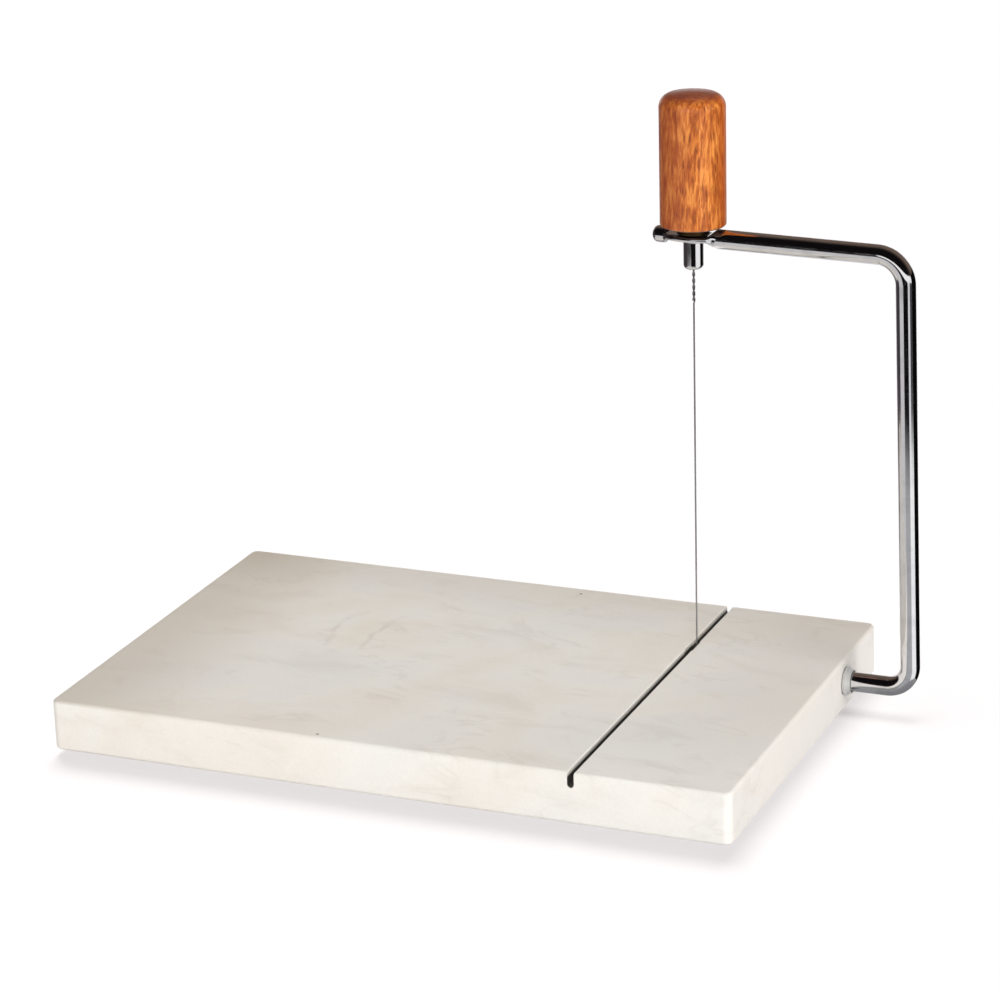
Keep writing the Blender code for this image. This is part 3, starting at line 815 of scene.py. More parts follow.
@dataclass
class Turning:
    """A form turned about Z.

    Its corners are (radius, height, rounding), down the outer side from top to bottom. A corner with a
    rounding is bevelled to that radius.
    """

    corners: Sequence[Corner]
    ring: bool = False
    steps: int = 96
    rounding_steps: int = 6

    def form(self) -> bmesh.types.BMesh:
        """Spins the corners and rounds their edges.

        Returns:
            The form.
        """
        form = bmesh.new()
        verts = [form.verts.new((radius, 0, height)) for radius, height, _ in self.corners]
        edges = [form.edges.new(pair) for pair in zip(verts, verts[1:])]
        if self.ring:
            edges.append(form.edges.new((verts[-1], verts[0])))
        bmesh.ops.spin(form, geom=verts + edges, cent=(0, 0, 0), axis=(0, 0, 1), dvec=(0, 0, 0),
                       angle=FULL_TURN, steps=self.steps, use_merge=True, use_duplicate=False)
        bmesh.ops.remove_doubles(form, verts=form.verts, dist=MERGE_DISTANCE)
        bmesh.ops.recalc_face_normals(form, faces=form.faces)
        for radius, height, rounding in self.corners:
            if rounding > 0:
                self._round(form, radius, height, rounding)
        return form

    def _round(self, form: bmesh.types.BMesh, radius: float, height: float, rounding: float) -> None:
        """Bevels the circular edge at a corner.

        Args:
            form: the form.
            radius: the corner's radius.
            height: its height.
            rounding: the bevel's radius.
        """
        def on_corner(vert: bmesh.types.BMVert) -> bool:
            """Whether a vertex lies on the corner's circle."""
            off_radius = abs(math.hypot(vert.co.x, vert.co.y) - radius)
            return off_radius < FIND_TOLERANCE and abs(vert.co.z - height) < FIND_TOLERANCE

        circle = [edge for edge in form.edges if all(on_corner(vert) for vert in edge.verts)]
        bmesh.ops.bevel(form, geom=circle, offset=rounding, segments=self.rounding_steps,
                        profile=ARC_PROFILE, affect="EDGES", material=-1)


class Tube:
    """A round tube that grows from one end, in straight runs and bends."""

    def __init__(self, radius: float, sides: int, start: Vector, direction: Vector) -> None:
        """Starts the tube with an open ring.

        Args:
            radius: the tube's radius.
            sides: how many sides its section has.
            start: the middle of its first ring.
            direction: which way it grows.
        """
        self.form = bmesh.new()
        bmesh.ops.create_circle(self.form, cap_ends=False, radius=radius, segments=sides)
        turn = direction.to_track_quat("Z", "Y").to_matrix()
        bmesh.ops.rotate(self.form, cent=(0, 0, 0), matrix=turn, verts=self.form.verts)
        bmesh.ops.translate(self.form, vec=start, verts=self.form.verts)
        self.ring: list[bmesh.types.BMEdge] = list(self.form.edges)

    def ring_verts(self) -> list[bmesh.types.BMVert]:
        """The vertices of the growing end."""
        return list(dict.fromkeys(vert for edge in self.ring for vert in edge.verts))

    def run(self, step: Vector) -> None:
        """Grows the tube straight by a step.

        Args:
            step: how far, and which way.
        """
        grown = bmesh.ops.extrude_edge_only(self.form, edges=self.ring)["geom"]
        verts = {item for item in grown if isinstance(item, bmesh.types.BMVert)}
        bmesh.ops.translate(self.form, vec=step, verts=list(verts))
        self.ring = [item for item in grown
                     if isinstance(item, bmesh.types.BMEdge) and all(vert in verts for vert in item.verts)]

    def bend(self, centre: Vector, axis: Vector, angle: float, steps: int,
             climb: Vector = Vector((0, 0, 0))) -> None:
        """Grows the tube round an axis, and along it by the climb at each step.

        Args:
            centre: a point on the axis.
            axis: the axis.
            angle: the turn in radians.
            steps: how many steps it takes.
            climb: the shift at each step.
        """
        geometry = [*self.ring_verts(), *self.ring]
        last = bmesh.ops.spin(self.form, geom=geometry, cent=centre, axis=axis, dvec=climb, angle=angle,
                              steps=steps, use_merge=False, use_duplicate=False)["geom_last"]
        self.ring = [item for item in last if isinstance(item, bmesh.types.BMEdge)]

    def narrow(self, share: float) -> None:
        """Scales the growing end about its middle.

        Args:
            share: the new size over the old one.
        """
        verts = self.ring_verts()
        middle = sum((vert.co for vert in verts), Vector()) / len(verts)
        for vert in verts:
            vert.co = middle + (vert.co - middle) * share

    def close(self, first_rounding: float = 0.0, last_rounding: float = 0.0,
              rounding_steps: int = 5) -> bmesh.types.BMesh:
        """Closes both ends and rounds their rims.

        Args:
            first_rounding: the rounding at the end that the tube started from.
            last_rounding: the rounding at the end that it grew to.
            rounding_steps: how many faces a rounding has.

        Returns:
            The finished form.
        """
        last_rim = set(self.ring)
        rims = [edge for edge in self.form.edges if edge.is_boundary]
        first_rim = [edge for edge in rims if edge not in last_rim]
        bmesh.ops.holes_fill(self.form, edges=rims, sides=0)
        bmesh.ops.recalc_face_normals(self.form, faces=self.form.faces)
        for rim, rounding in ((first_rim, first_rounding), (self.ring, last_rounding)):
            if rounding > 0:
                bmesh.ops.bevel(self.form, geom=rim, offset=rounding, segments=rounding_steps,
                                profile=ARC_PROFILE, affect="EDGES", material=-1)
        return self.form


def quarter_arc(centre: Span, radius: float, start: float, steps: int) -> list[Span]:
    """Points on a quarter circle.

    Args:
        centre: the circle's middle.
        radius: its radius.
        start: the angle of the first point, in degrees.
        steps: how many steps it takes, anticlockwise.

    Returns:
        The points, both ends included.
    """
    angles = [math.radians(start + 90 * step / steps) for step in range(steps + 1)]
    return [(centre[0] + radius * math.cos(a), centre[1] + radius * math.sin(a)) for a in angles]


@dataclass
class MarbleBoard:
    """The slab with the wire's groove, the slot over the pivot, the shaft's bore and the access hole."""

    low: Vector
    high: Vector
    pivot: Vector
    corner: float = 0.0028
    corner_steps: int = 10
    arris: float = 0.0012
    arris_steps: int = 7
    groove_width: float = 0.0022
    groove_front_depth: float = 0.005
    groove_back_depth: float = 0.003
    groove_ease: float = 0.00035
    ease_steps: int = 4
    slot_width: float = 0.0028
    slot_reach: float = 0.009
    slot_sides: int = 32
    wire_clearance: float = 0.000575
    shaft_hole: float = 0.003475
    seat_wall: float = 0.0011
    seat_length: float = 0.0123
    bore_past_pivot: float = 0.009
    access_radius: float = 0.00225
    bore_sides: int = 96

    def build(self, finishes: Finishes) -> bpy.types.Object:
        """Builds and dresses the board.

        Args:
            finishes: the materials.

        Returns:
            The piece.
        """
        form = bmesh.new()
        bmesh.ops.create_cube(form, size=1)
        bmesh.ops.scale(form, vec=self.high - self.low, verts=form.verts)
        bmesh.ops.translate(form, vec=(self.high + self.low) / 2, verts=form.verts)
        upright = [edge for edge in form.edges if self._rise(edge) > FIND_TOLERANCE]
        bmesh.ops.bevel(form, geom=upright, offset=self.corner, segments=self.corner_steps,
                        profile=ARC_PROFILE, affect="EDGES", material=-1)
        rims = [edge for edge in form.edges if self._rise(edge) < FIND_TOLERANCE]
        bmesh.ops.bevel(form, geom=rims, offset=self.arris, segments=self.arris_steps,
                        profile=ARC_PROFILE, affect="EDGES", material=-1)
        board = as_object("stone_board", form)
        carve(board, [*self._grooves(), self._slot(), *self._bores()])
        return dress(board, finishes.marble, Body.BASE, "marble_board")

    def _rise(self, edge: bmesh.types.BMEdge) -> float:
        """How much higher one end of an edge is than the other."""
        return abs(edge.verts[0].co.z - edge.verts[1].co.z)

    def _lip(self, side: float) -> list[Span]:
        """The eased lip of a cut, from its wall at this distance across to the slab's top."""
        centre = (side + self.groove_ease, self.high.z - self.groove_ease)
        return quarter_arc(centre, self.groove_ease, 90, self.ease_steps)

    def _section(self, depth: float) -> list[Span]:
        """The groove's section as (across, height) points round it, with eased lips and a round floor.

        Args:
            depth: the groove's depth.

        Returns:
            The points.
        """
        half = self.groove_width / 2
        top = self.high.z
        floor = quarter_arc((0, top - depth + half), half, 270, self.ease_steps)[:-1]
        right = [(half + self.groove_ease, top + CUT_OVERRUN), *self._lip(half), (half, top - depth + half)]
        right += list(reversed(floor))
        left = [(-x, z) for x, z in reversed(right[:-1])]
        return right + left

    def _groove(self, name: str, y_from: float, y_to: float, depth_from: float,
                depth_to: float) -> bpy.types.Object:
        """A cutter for a stretch of the groove whose depth changes evenly along it.

        Args:
            name: the cutter's name.
            y_from: where the stretch starts.
            y_to: where it ends.
            depth_from: the groove's depth at its start.
            depth_to: the groove's depth at its end.

        Returns:
            The cutter.
        """
        form = bmesh.new()
        points = self._section(depth_from)
        section = form.faces.new([form.verts.new((self.pivot.x + x, y_from, z)) for x, z in points])
        grown = bmesh.ops.extrude_face_region(form, geom=[section], use_keep_orig=True)["geom"]
        far = [item for item in grown if isinstance(item, bmesh.types.BMVert)]
        bmesh.ops.translate(form, vec=(0, y_to - y_from, 0), verts=far)
        floor = [vert for vert in far if vert.co.z < self.high.z - self.groove_ease - FIND_TOLERANCE]
        bmesh.ops.translate(form, vec=(0, 0, depth_from - depth_to), verts=floor)
        bmesh.ops.recalc_face_normals(form, faces=form.faces)
        return as_object(name, form)

    def _grooves(self) -> list[bpy.types.Object]:
        """The groove's two stretches. In front of the pivot its floor lies along the closed wire.

        Returns:
            The two cutters.
        """
        pivot_depth = self.high.z - self.pivot.z + self.wire_clearance
        slope = (pivot_depth - self.groove_front_depth) / (self.pivot.y - self.low.y)
        front_depth = self.groove_front_depth - slope * CUT_OVERRUN
        front = self._groove("groove_front", self.low.y - CUT_OVERRUN, self.pivot.y, front_depth, pivot_depth)
        back = self._groove("groove_back", self.pivot.y - self.slot_width, self.high.y + CUT_OVERRUN,
                            self.groove_back_depth, self.groove_back_depth)
        return [front, back]

    def _slot(self) -> bpy.types.Object:
        """The cutter of the wide slot over the pivot, with round ends and an eased lip.

        Returns:
            The cutter.
        """
        low_y = self.pivot.y - self.slot_reach
        high_y = self.pivot.y + self.wire_clearance
        radius = self.slot_width / 2
        middle_y = (low_y + high_y) / 2
        half_run = (high_y - low_y) / 2 - radius
        form = bmesh.new()
        bmesh.ops.create_circle(form, cap_ends=False, radius=radius, segments=self.slot_sides)
        half_side = Matrix.Rotation(math.pi / self.slot_sides, 3, "Z")
        bmesh.ops.rotate(form, cent=(0, 0, 0), matrix=half_side, verts=form.verts)
        for vert in form.verts:
            vert.co += Vector((0, math.copysign(half_run, vert.co.y), self.pivot.z))
        levels = [*reversed(self._lip(0)), (self.groove_ease, self.high.z + CUT_OVERRUN)]
        rim = list(form.edges)
        spread = 0.0
        for next_spread, height in levels:
            grown = bmesh.ops.extrude_edge_only(form, edges=rim)["geom"]
            verts = {item for item in grown if isinstance(item, bmesh.types.BMVert)}
            rim = [item for item in grown
                   if isinstance(item, bmesh.types.BMEdge) and all(vert in verts for vert in item.verts)]
            share = (radius + next_spread) / (radius + spread)
            for vert in verts:
                end = math.copysign(half_run, vert.co.y)
                vert.co = (vert.co.x * share, end + (vert.co.y - end) * share, height)
            spread = next_spread
        bmesh.ops.holes_fill(form, edges=[edge for edge in form.edges if edge.is_boundary], sides=0)
        bmesh.ops.translate(form, vec=(self.pivot.x, middle_y, 0), verts=form.verts)
        bmesh.ops.recalc_face_normals(form, faces=form.faces)
        return as_object("pivot_slot", form)

    def _bores(self) -> list[bpy.types.Object]:
        """The cutters of the shaft's bore, the bushing's seat and the access hole from below.

        Returns:
            The three cutters.
        """
        made = []
        opened = self.high.x + CUT_OVERRUN
        across = Vector((0, self.pivot.y, self.pivot.z))
        runs = (("shaft_bore", self.shaft_hole, self.pivot.x - self.bore_past_pivot),
                ("bushing_seat", self.shaft_hole + self.seat_wall, self.high.x - self.seat_length))
        for name, radius, start in runs:
            tube = Tube(radius, self.bore_sides, across + Vector((start, 0, 0)), Vector((1, 0, 0)))
            tube.run(Vector((opened - start, 0, 0)))
            made.append(as_object(name, tube.close()))
        below = Vector((self.pivot.x, self.pivot.y, self.low.z - CUT_OVERRUN))
        tube = Tube(self.access_radius, self.bore_sides, below, Vector((0, 0, 1)))
        tube.run(Vector((0, 0, self.pivot.z - below.z)))
        made.append(as_object("access_hole", tube.close()))
        return made


@dataclass
class PivotBushing:
    """The satin metal sleeve in the slab's right face, with its flared collar outside."""

    face: Vector
    hole: float = 0.003475
    wall: float = 0.0008
    length: float = 0.012
    rim: float = 0.0048
    rim_height: float = 0.0007
    flare: float = 0.0016
    lip: float = 0.0004
    flare_steps: int = 12
    mouth_rounding: float = 0.00012
    edge_rounding: float = 0.0001

    def build(self, finishes: Finishes) -> bpy.types.Object:
        """Builds and dresses the bushing.

        Args:
            finishes: the materials.

        Returns:
            The piece.
        """
        lip = self.hole + self.lip
        top = self.rim_height + self.flare
        run = self.rim - lip
        corners: list[Corner] = [(self.hole, top, self.mouth_rounding)]
        for step in range(self.flare_steps + 1):
            angle = math.pi + math.pi / 2 * step / self.flare_steps
            corners.append((self.rim + run * math.cos(angle), top + self.flare * math.sin(angle), 0))
        corners += [(self.rim, 0, self.edge_rounding), (self.hole + self.wall, 0, 0),
                    (self.hole + self.wall, -self.length, self.edge_rounding),
                    (self.hole, -self.length, self.edge_rounding)]
        place = Matrix.Translation(self.face) @ Matrix.Rotation(math.pi / 2, 4, "Y")
        bushing = as_object("collar_bushing", Turning(corners, ring=True).form(), place)
        return dress(bushing, finishes.satin, Body.BASE, "pivot_bushing")


@dataclass
class RubberFoot:
    """A stick-on rubber foot, one of four."""

    node: str
    low: Vector
    high: Vector
    taper: float = 0.0008
    rounding: float = 0.0003

    def build(self, finishes: Finishes) -> bpy.types.Object:
        """Builds and dresses the foot.

        Args:
            finishes: the materials.

        Returns:
            The piece.
        """
        radius = (self.high.x - self.low.x) / 2
        height = self.high.z - self.low.z
        corners = [(0.0, height, 0.0), (radius, height, 0.0), (radius, height / 2, self.rounding),
                   (radius - self.taper, 0.0, self.rounding), (0.0, 0.0, 0.0)]
        middle = Vector(((self.low.x + self.high.x) / 2, (self.low.y + self.high.y) / 2, self.low.z))
        name = self.node.replace("foot_", "rubber_pad_")
        pad = as_object(name, Turning(corners).form(), Matrix.Translation(middle))
        return dress(pad, finishes.rubber, Body.BASE, self.node)


@dataclass
class BentArm:
    """The chromed rod: shaft, lower leg, upright, top leg, pressed eye and stub."""

    place: Matrix
    radius: float = 0.003175
    shaft_past_wire: float = 0.006
    leg_from_wire: float = 0.0728
    height: float = 0.1427
    leg_lean: float = math.radians(1.3)
    top_rise: float = math.radians(1.1)
    low_bend: float = 0.0075
    top_bend: float = 0.0095
    end_rounding: float = 0.0011
    eye_thickness: float = 0.0020
    eye_width: float = 0.0112
    eye_left: float = 0.0094
    eye_right: float = 0.0086
    eye_left_ramp: float = 0.0012
    eye_right_ramp: float = 0.0032
    eye_spread_power: float = 0.7
    eye_flatness_power: float = 3.0
    eye_stations: int = 72
    eye_hole: float = 0.0023
    stub: float = 0.0039
    stub_share: float = 0.86  # of the rod's radius
    stub_rounding: float = 0.0019
    pocket_radius: float = 0.00135
    pocket_depth: float = 0.0016
    wire_hole: float = 0.000575
    sides: int = 48
    bend_steps: int = 28

    def eye_height(self) -> float:
        """The height of the top leg's axis over the pivot's, at the wire."""
        top_x = self.leg_from_wire - self.height * math.tan(self.leg_lean)
        return self.height + top_x * math.tan(self.top_rise)

    def leg_height(self, x: float) -> float:
        """The height of the top leg's axis, x to the right of the wire."""
        return self.eye_height() - x * math.tan(self.top_rise)

    def _tube(self) -> bmesh.types.BMesh:
        """The rod before its eye is pressed.

        Returns:
            The form.
        """
        right = Vector((1, 0, 0))
        upward = Vector((-math.sin(self.leg_lean), 0, math.cos(self.leg_lean)))
        leftward = Vector((-math.cos(self.top_rise), 0, math.sin(self.top_rise)))
        turn_axis = Vector((0, -1, 0))
        low_turn = math.pi / 2 + self.leg_lean
        top_turn = math.pi / 2 - self.leg_lean - self.top_rise
        low_corner = Vector((self.leg_from_wire, 0, 0))
        top_corner = Vector((self.leg_from_wire - self.height * math.tan(self.leg_lean), 0, self.height))
        low_reach = self.low_bend * math.tan(low_turn / 2)
        top_reach = self.top_bend * math.tan(top_turn / 2)
        start = Vector((-self.shaft_past_wire, 0, 0))
        tube = Tube(self.radius, self.sides, start, right)
        low_start = low_corner - right * low_reach
        tube.run(low_start - start)
        tube.bend(low_start + Vector((0, 0, self.low_bend)), turn_axis, low_turn, self.bend_steps)
        low_end = low_corner + upward * low_reach
        top_start = top_corner - upward * top_reach
        tube.run(top_start - low_end)
        inward = Vector((-math.cos(self.leg_lean), 0, -math.sin(self.leg_lean)))
        tube.bend(top_start + inward * self.top_bend, turn_axis, top_turn, self.bend_steps)
        top_end = top_corner + leftward * top_reach
        eye_start = Vector((self.eye_right, 0, self.leg_height(self.eye_right)))
        tube.run(eye_start - top_end)
        station = leftward * (self.eye_right + self.eye_left) / self.eye_stations / leftward.length
        share = 1.0
        for step in range(1, self.eye_stations + 1):
            tube.run(station)
            left_of_wire = (self.eye_left + self.eye_right) * step / self.eye_stations - self.eye_right
            along = max(0.0, left_of_wire / self.eye_left)
            next_share = 1 + (self.stub_share - 1) * along ** 2 * (3 - 2 * along)
            tube.narrow(next_share / share)
            share = next_share
        tube.run(leftward * self.stub)
        return tube.close(self.end_rounding, self.stub_rounding)

    def _press(self, form: bmesh.types.BMesh) -> None:
        """Presses the rod flat round the screw and lets it spread sideways.

        Args:
            form: the rod.
        """
        middle = (self.eye_right - self.eye_left) / 2
        half_length = (self.eye_right + self.eye_left) / 2
        spread_most = self.eye_width / (2 * self.radius) - 1
        for vert in form.verts:
            x, height = vert.co.x, vert.co.z
            if height < self.height / 2 or not -self.eye_left < x < self.eye_right:
                continue
            right_ramp = (self.eye_right - x) / self.eye_right_ramp
            left_ramp = (x + self.eye_left) / self.eye_left_ramp
            along = min(1.0, right_ramp, left_ramp)
            pressed = along ** 2 * (3 - 2 * along)
            half_thickness = self.radius + (self.eye_thickness / 2 - self.radius) * pressed
            flatness = 1 + (self.eye_flatness_power - 1) * pressed
            centre = self.leg_height(x) + (self.eye_height() - self.leg_height(x)) * pressed
            offset = height - self.leg_height(x)
            edge_share = max(0.0, 1 - abs(offset) / self.radius)
            vert.co.z = centre + math.copysign(half_thickness * (1 - edge_share ** flatness), offset)
            outline = (1 - ((x - middle) / half_length) ** 2) ** self.eye_spread_power
            vert.co.y *= 1 + spread_most * outline * pressed

    def _hole(self, name: str, radius: float, low: float, high: float) -> bpy.types.Object:
        """A cutter along the wire's axis, between two heights.

        Args:
            name: the cutter's name.
            radius: its radius.
            low: its lower height.
            high: its upper height.

        Returns:
            The cutter.
        """
        tube = Tube(radius, self.sides, Vector((0, 0, low)), Vector((0, 0, 1)))
        tube.run(Vector((0, 0, high - low)))
        return as_object(name, tube.close(), self.place)

    def build(self, finishes: Finishes) -> bpy.types.Object:
        """Builds and dresses the arm.

        Args:
            finishes: the materials.

        Returns:
            The piece.
        """
        form = self._tube()
        self._press(form)
        arm = as_object("bent_rod", form, self.place)
        eye_low = self.eye_height() - self.eye_thickness / 2 - CUT_OVERRUN
        eye_high = self.eye_height() + self.eye_thickness / 2 + CUT_OVERRUN
        outside = self.radius + CUT_OVERRUN
        carve(arm, [self._hole("stop_pocket", self.pocket_radius, -outside, 0.0),
                    self._hole("wire_hole", self.wire_hole, -self.pocket_depth, outside),
                    self._hole("eye_hole", self.eye_hole, eye_low, eye_high)])
        return dress(arm, finishes.chrome, Body.ARM, "arm_rod", even_faces=False)


@dataclass
class TautWire:
    """The wire, doubled back and twisted below the ferrule, with its bead, ferrule and tension screw."""

    place: Matrix
    radius: float = 0.000275
    strand_bite: float = 0.00004
    wire_top: float = 0.137936
    twist_start: float = 0.123036
    half_turn: float = 0.0021
    half_turn_steps: int = 9
    blend: float = 0.0009
    blend_steps: int = 5
    strand_sides: int = 14
    bead_radius: float = 0.00105
    bead_top: float = -0.0003
    bead_length: float = 0.0013
    rim_rounding: float = 0.0003
    mouth_rounding: float = 0.0002
    hole_rounding: float = 0.0001
    crimp_gap: float = 0.0001
    ferrule_radius: float = 0.0032
    ferrule_top: float = 0.142736
    ferrule_length: float = 0.0092
    nose_rounding: float = 0.0016
    nose_wall: float = 0.0025
    screw_hole: float = 0.0023
    screw_radius: float = 0.002
    screw_bottom: float = 0.138236
    screw_top: float = 0.159266
    thread_pitch: float = 0.0007
    thread_depth: float = 0.0003
    thread_steps_per_pitch: int = 8
    screw_chamfer: float = 0.0005
    screw_sides: int = 40

    def _bottom(self) -> float:
        """The height of the wire's lower end."""
        return self.bead_top - self.bead_length

    def _standing_strand(self) -> bmesh.types.BMesh:
        """The strand that is the wire itself: straight, then twisted up to its top.

        Returns:
            The strand.
        """
        offset = self.radius - self.strand_bite / 2
        tube = Tube(self.radius, self.strand_sides, Vector((0, 0, self._bottom())), Vector((0, 0, 1)))
        straight = self.twist_start - self.blend - self._bottom()
        tube.run(Vector((0, 0, straight)))
        for _ in range(self.blend_steps):
            tube.run(Vector((offset, 0, self.blend)) / self.blend_steps)
        self._twist(tube)
        return tube.close()

    def _tail_strand(self) -> bmesh.types.BMesh:
        """The strand that is the wire's doubled end, cut off where the twist starts.

        Returns:
            The strand.
        """
        offset = self.radius - self.strand_bite / 2
        tube = Tube(self.radius, self.strand_sides, Vector((-offset, 0, self.twist_start)), Vector((0, 0, 1)))
        self._twist(tube)
        return tube.close(self.radius / 3, self.radius / 3, 2)

    def _twist(self, tube: Tube) -> None:
        """Winds a strand about the wire's axis up to the wire's top.

        Args:
            tube: the strand so far.
        """
        height = self.wire_top - self.twist_start
        steps = round(height / self.half_turn * self.half_turn_steps)
        tube.bend(Vector((0, 0, 0)), Vector((0, 0, 1)), math.pi * height / self.half_turn, steps,
                  Vector((0, 0, height / steps)))

    def wire(self, finishes: Finishes) -> bpy.types.Object:
        """Builds and dresses the wire.

        Args:
            finishes: the materials.

        Returns:
            The piece.
        """
        strand = self._standing_strand()
        tail = self._tail_strand()
        spare = bpy.data.meshes.new("tail")
        tail.to_mesh(spare)
        tail.free()
        strand.from_mesh(spare)
        bpy.data.meshes.remove(spare)
        wire = as_object("taut_wire", strand, self.place)
        return dress(wire, finishes.wire_steel, Body.WIRE, "cutting_wire", even_faces=False)

    def bead(self, finishes: Finishes) -> bpy.types.Object:
        """Builds and dresses the bead squeezed on the wire's lower end.

        Args:
            finishes: the materials.

        Returns:
            The piece.
        """
        inner = self.radius + self.crimp_gap
        corners = [(inner, self.bead_top, 0.0), (self.bead_radius, self.bead_top, self.rim_rounding),
                   (self.bead_radius, self._bottom(), self.rim_rounding), (inner, self._bottom(), 0.0)]
        bead = as_object("wire_bead", Turning(corners, ring=True, steps=48).form(), self.place)
        return dress(bead, finishes.wire_steel, Body.WIRE, "wire_stop")

    def ferrule(self, finishes: Finishes) -> bpy.types.Object:
        """Builds and dresses the sleeve between the wire and the tension screw.

        Args:
            finishes: the materials.

        Returns:
            The piece.
        """
        bottom = self.ferrule_top - self.ferrule_length
        strands = 2 * self.radius + self.crimp_gap
        corners = [(self.screw_hole, self.ferrule_top, self.mouth_rounding),
                   (self.ferrule_radius, self.ferrule_top, self.rim_rounding),
                   (self.ferrule_radius, bottom, self.nose_rounding), (strands, bottom, self.hole_rounding),
                   (strands, bottom + self.nose_wall, 0.0), (self.screw_hole, bottom + self.nose_wall, 0.0)]
        turning = Turning(corners, ring=True, rounding_steps=10)
        ferrule = as_object("chromed_ferrule", turning.form(), self.place)
        return dress(ferrule, finishes.chrome, Body.WIRE, "wire_ferrule")

    def screw(self, finishes: Finishes) -> bpy.types.Object:
        """Builds and dresses the tension screw with its thread.

        Args:
            finishes: the materials.

        Returns:
            The piece.
        """
        tube = Tube(self.screw_radius, self.screw_sides, Vector((0, 0, self.screw_bottom)), Vector((0, 0, 1)))
        length = self.screw_top - self.screw_bottom
        steps = round(length / self.thread_pitch * self.thread_steps_per_pitch)
        for _ in range(steps):
            tube.run(Vector((0, 0, length / steps)))
        form = tube.close()
        for vert in form.verts:
            turns = vert.co.z / self.thread_pitch - math.atan2(vert.co.y, vert.co.x) / FULL_TURN
            flank = abs(2 * (turns - math.floor(turns)) - 1)
            end_gap = min(vert.co.z - self.screw_bottom, self.screw_top - vert.co.z)
            chamfer = max(0.0, self.screw_chamfer - end_gap)
            radius = min(self.screw_radius - self.thread_depth * flank, self.screw_radius - chamfer)
            share = radius / self.screw_radius
            vert.co.x *= share
            vert.co.y *= share
        screw = as_object("threaded_stud", form, self.place)
        return dress(screw, finishes.wire_steel, Body.WIRE, "tension_screw",
                     even_faces=False)


@dataclass
class TurnedGrip:
    """The wooden handle and the threaded insert in its foot."""

    place: Matrix
    radius: float = 0.01055
    foot: float = 0.147766
    length: float = 0.04298
    crown_rounding: float = 0.0043
    crown_rise: float = 0.0005
    crown_steps: int = 6
    foot_rounding: float = 0.0009
    bore: float = 0.00455
    bore_top: float = 0.162766
    insert_radius: float = 0.00425
    insert_bottom: float = 0.145336
    insert_top: float = 0.160766
    insert_collar: float = 0.00525
    insert_collar_top: float = 0.147466
    rim_rounding: float = 0.0003
    edge_rounding: float = 0.0002
    screw_hole: float = 0.0023

    def wood(self, finishes: Finishes) -> bpy.types.Object:
        """Builds and dresses the handle.

        Args:
            finishes: the materials.

        Returns:
            The piece.
        """
        top = self.foot + self.length
        shoulder = top - self.crown_rise
        flat = self.radius - self.crown_rounding
        corners: list[Corner] = []
        for step in range(self.crown_steps):
            share = step / self.crown_steps
            corners.append((flat * share, shoulder + self.crown_rise * (1 - share ** 2), 0.0))
        corners += [(flat, shoulder, 0.0)]
        arc_centre = (flat, shoulder - self.crown_rounding)
        arc = quarter_arc(arc_centre, self.crown_rounding, 0, 2 * self.crown_steps)
        corners += [(x, z, 0.0) for x, z in reversed(arc[:-1])]
        corners += [(self.radius, self.foot, self.foot_rounding), (self.bore, self.foot, self.rim_rounding),
                    (self.bore, self.bore_top, 0.0), (0.0, self.bore_top, 0.0)]
        grip = as_object("turned_handle", Turning(corners, steps=128).form(), self.place)
        return dress(grip, finishes.wood, Body.GRIP, "handle")

    def insert(self, finishes: Finishes) -> bpy.types.Object:
        """Builds and dresses the insert.

        Args:
            finishes: the materials.

        Returns:
            The piece.
        """
        corners = [(self.screw_hole, self.insert_top, self.edge_rounding),
                   (self.insert_radius, self.insert_top, self.rim_rounding),
                   (self.insert_radius, self.insert_collar_top, 0.0),
                   (self.insert_collar, self.insert_collar_top, self.edge_rounding),
                   (self.insert_collar, self.insert_bottom, self.edge_rounding),
                   (self.screw_hole, self.insert_bottom, self.edge_rounding)]
        insert = as_object("collared_insert", Turning(corners, ring=True).form(), self.place)
        return dress(insert, finishes.brass, Body.GRIP, "handle_insert")


@dataclass(frozen=True)
class Sun:
    """A wide soft light from far off."""

    name: str
    towards: Sequence[float]  # from the object to the light
    strength: float
    width: float
    tint: Colour = (255, 255, 255)
    shadow_of: str = ""  # the piece whose shadow it lays on the floor, for a light that only the floor gets

    def build(self, floor: bpy.types.Object) -> bpy.types.Object:
        """Adds the light, which isn't seen in reflections: the flags and the world give those.

        Args:
            floor: the floor, which gets only the lights that lay a shadow on it.

        Returns:
            The light.
        """
        data = bpy.data.lights.new(self.name, "SUN")
        data.energy = self.strength * math.pi
        data.angle = self.width
        data.color = linear(self.tint)[:3]
        lamp = bpy.data.objects.new(self.name, data)
        bpy.context.scene.collection.objects.link(lamp)
        lamp.rotation_euler = Vector(self.towards).to_track_quat("Z", "Y").to_euler()
        lamp.visible_glossy = False
        lit = bpy.data.collections.new(f"{self.name}_floor")
        lit.objects.link(floor)
        lit.collection_objects[0].light_linking.link_state = "INCLUDE" if self.shadow_of else "EXCLUDE"
        lamp.light_linking.receiver_collection = lit
        if self.shadow_of:
            casting = bpy.data.collections.new(f"{self.name}_shadow")
            casting.objects.link(bpy.data.objects[self.shadow_of])
            lamp.light_linking.blocker_collection = casting
        return lamp


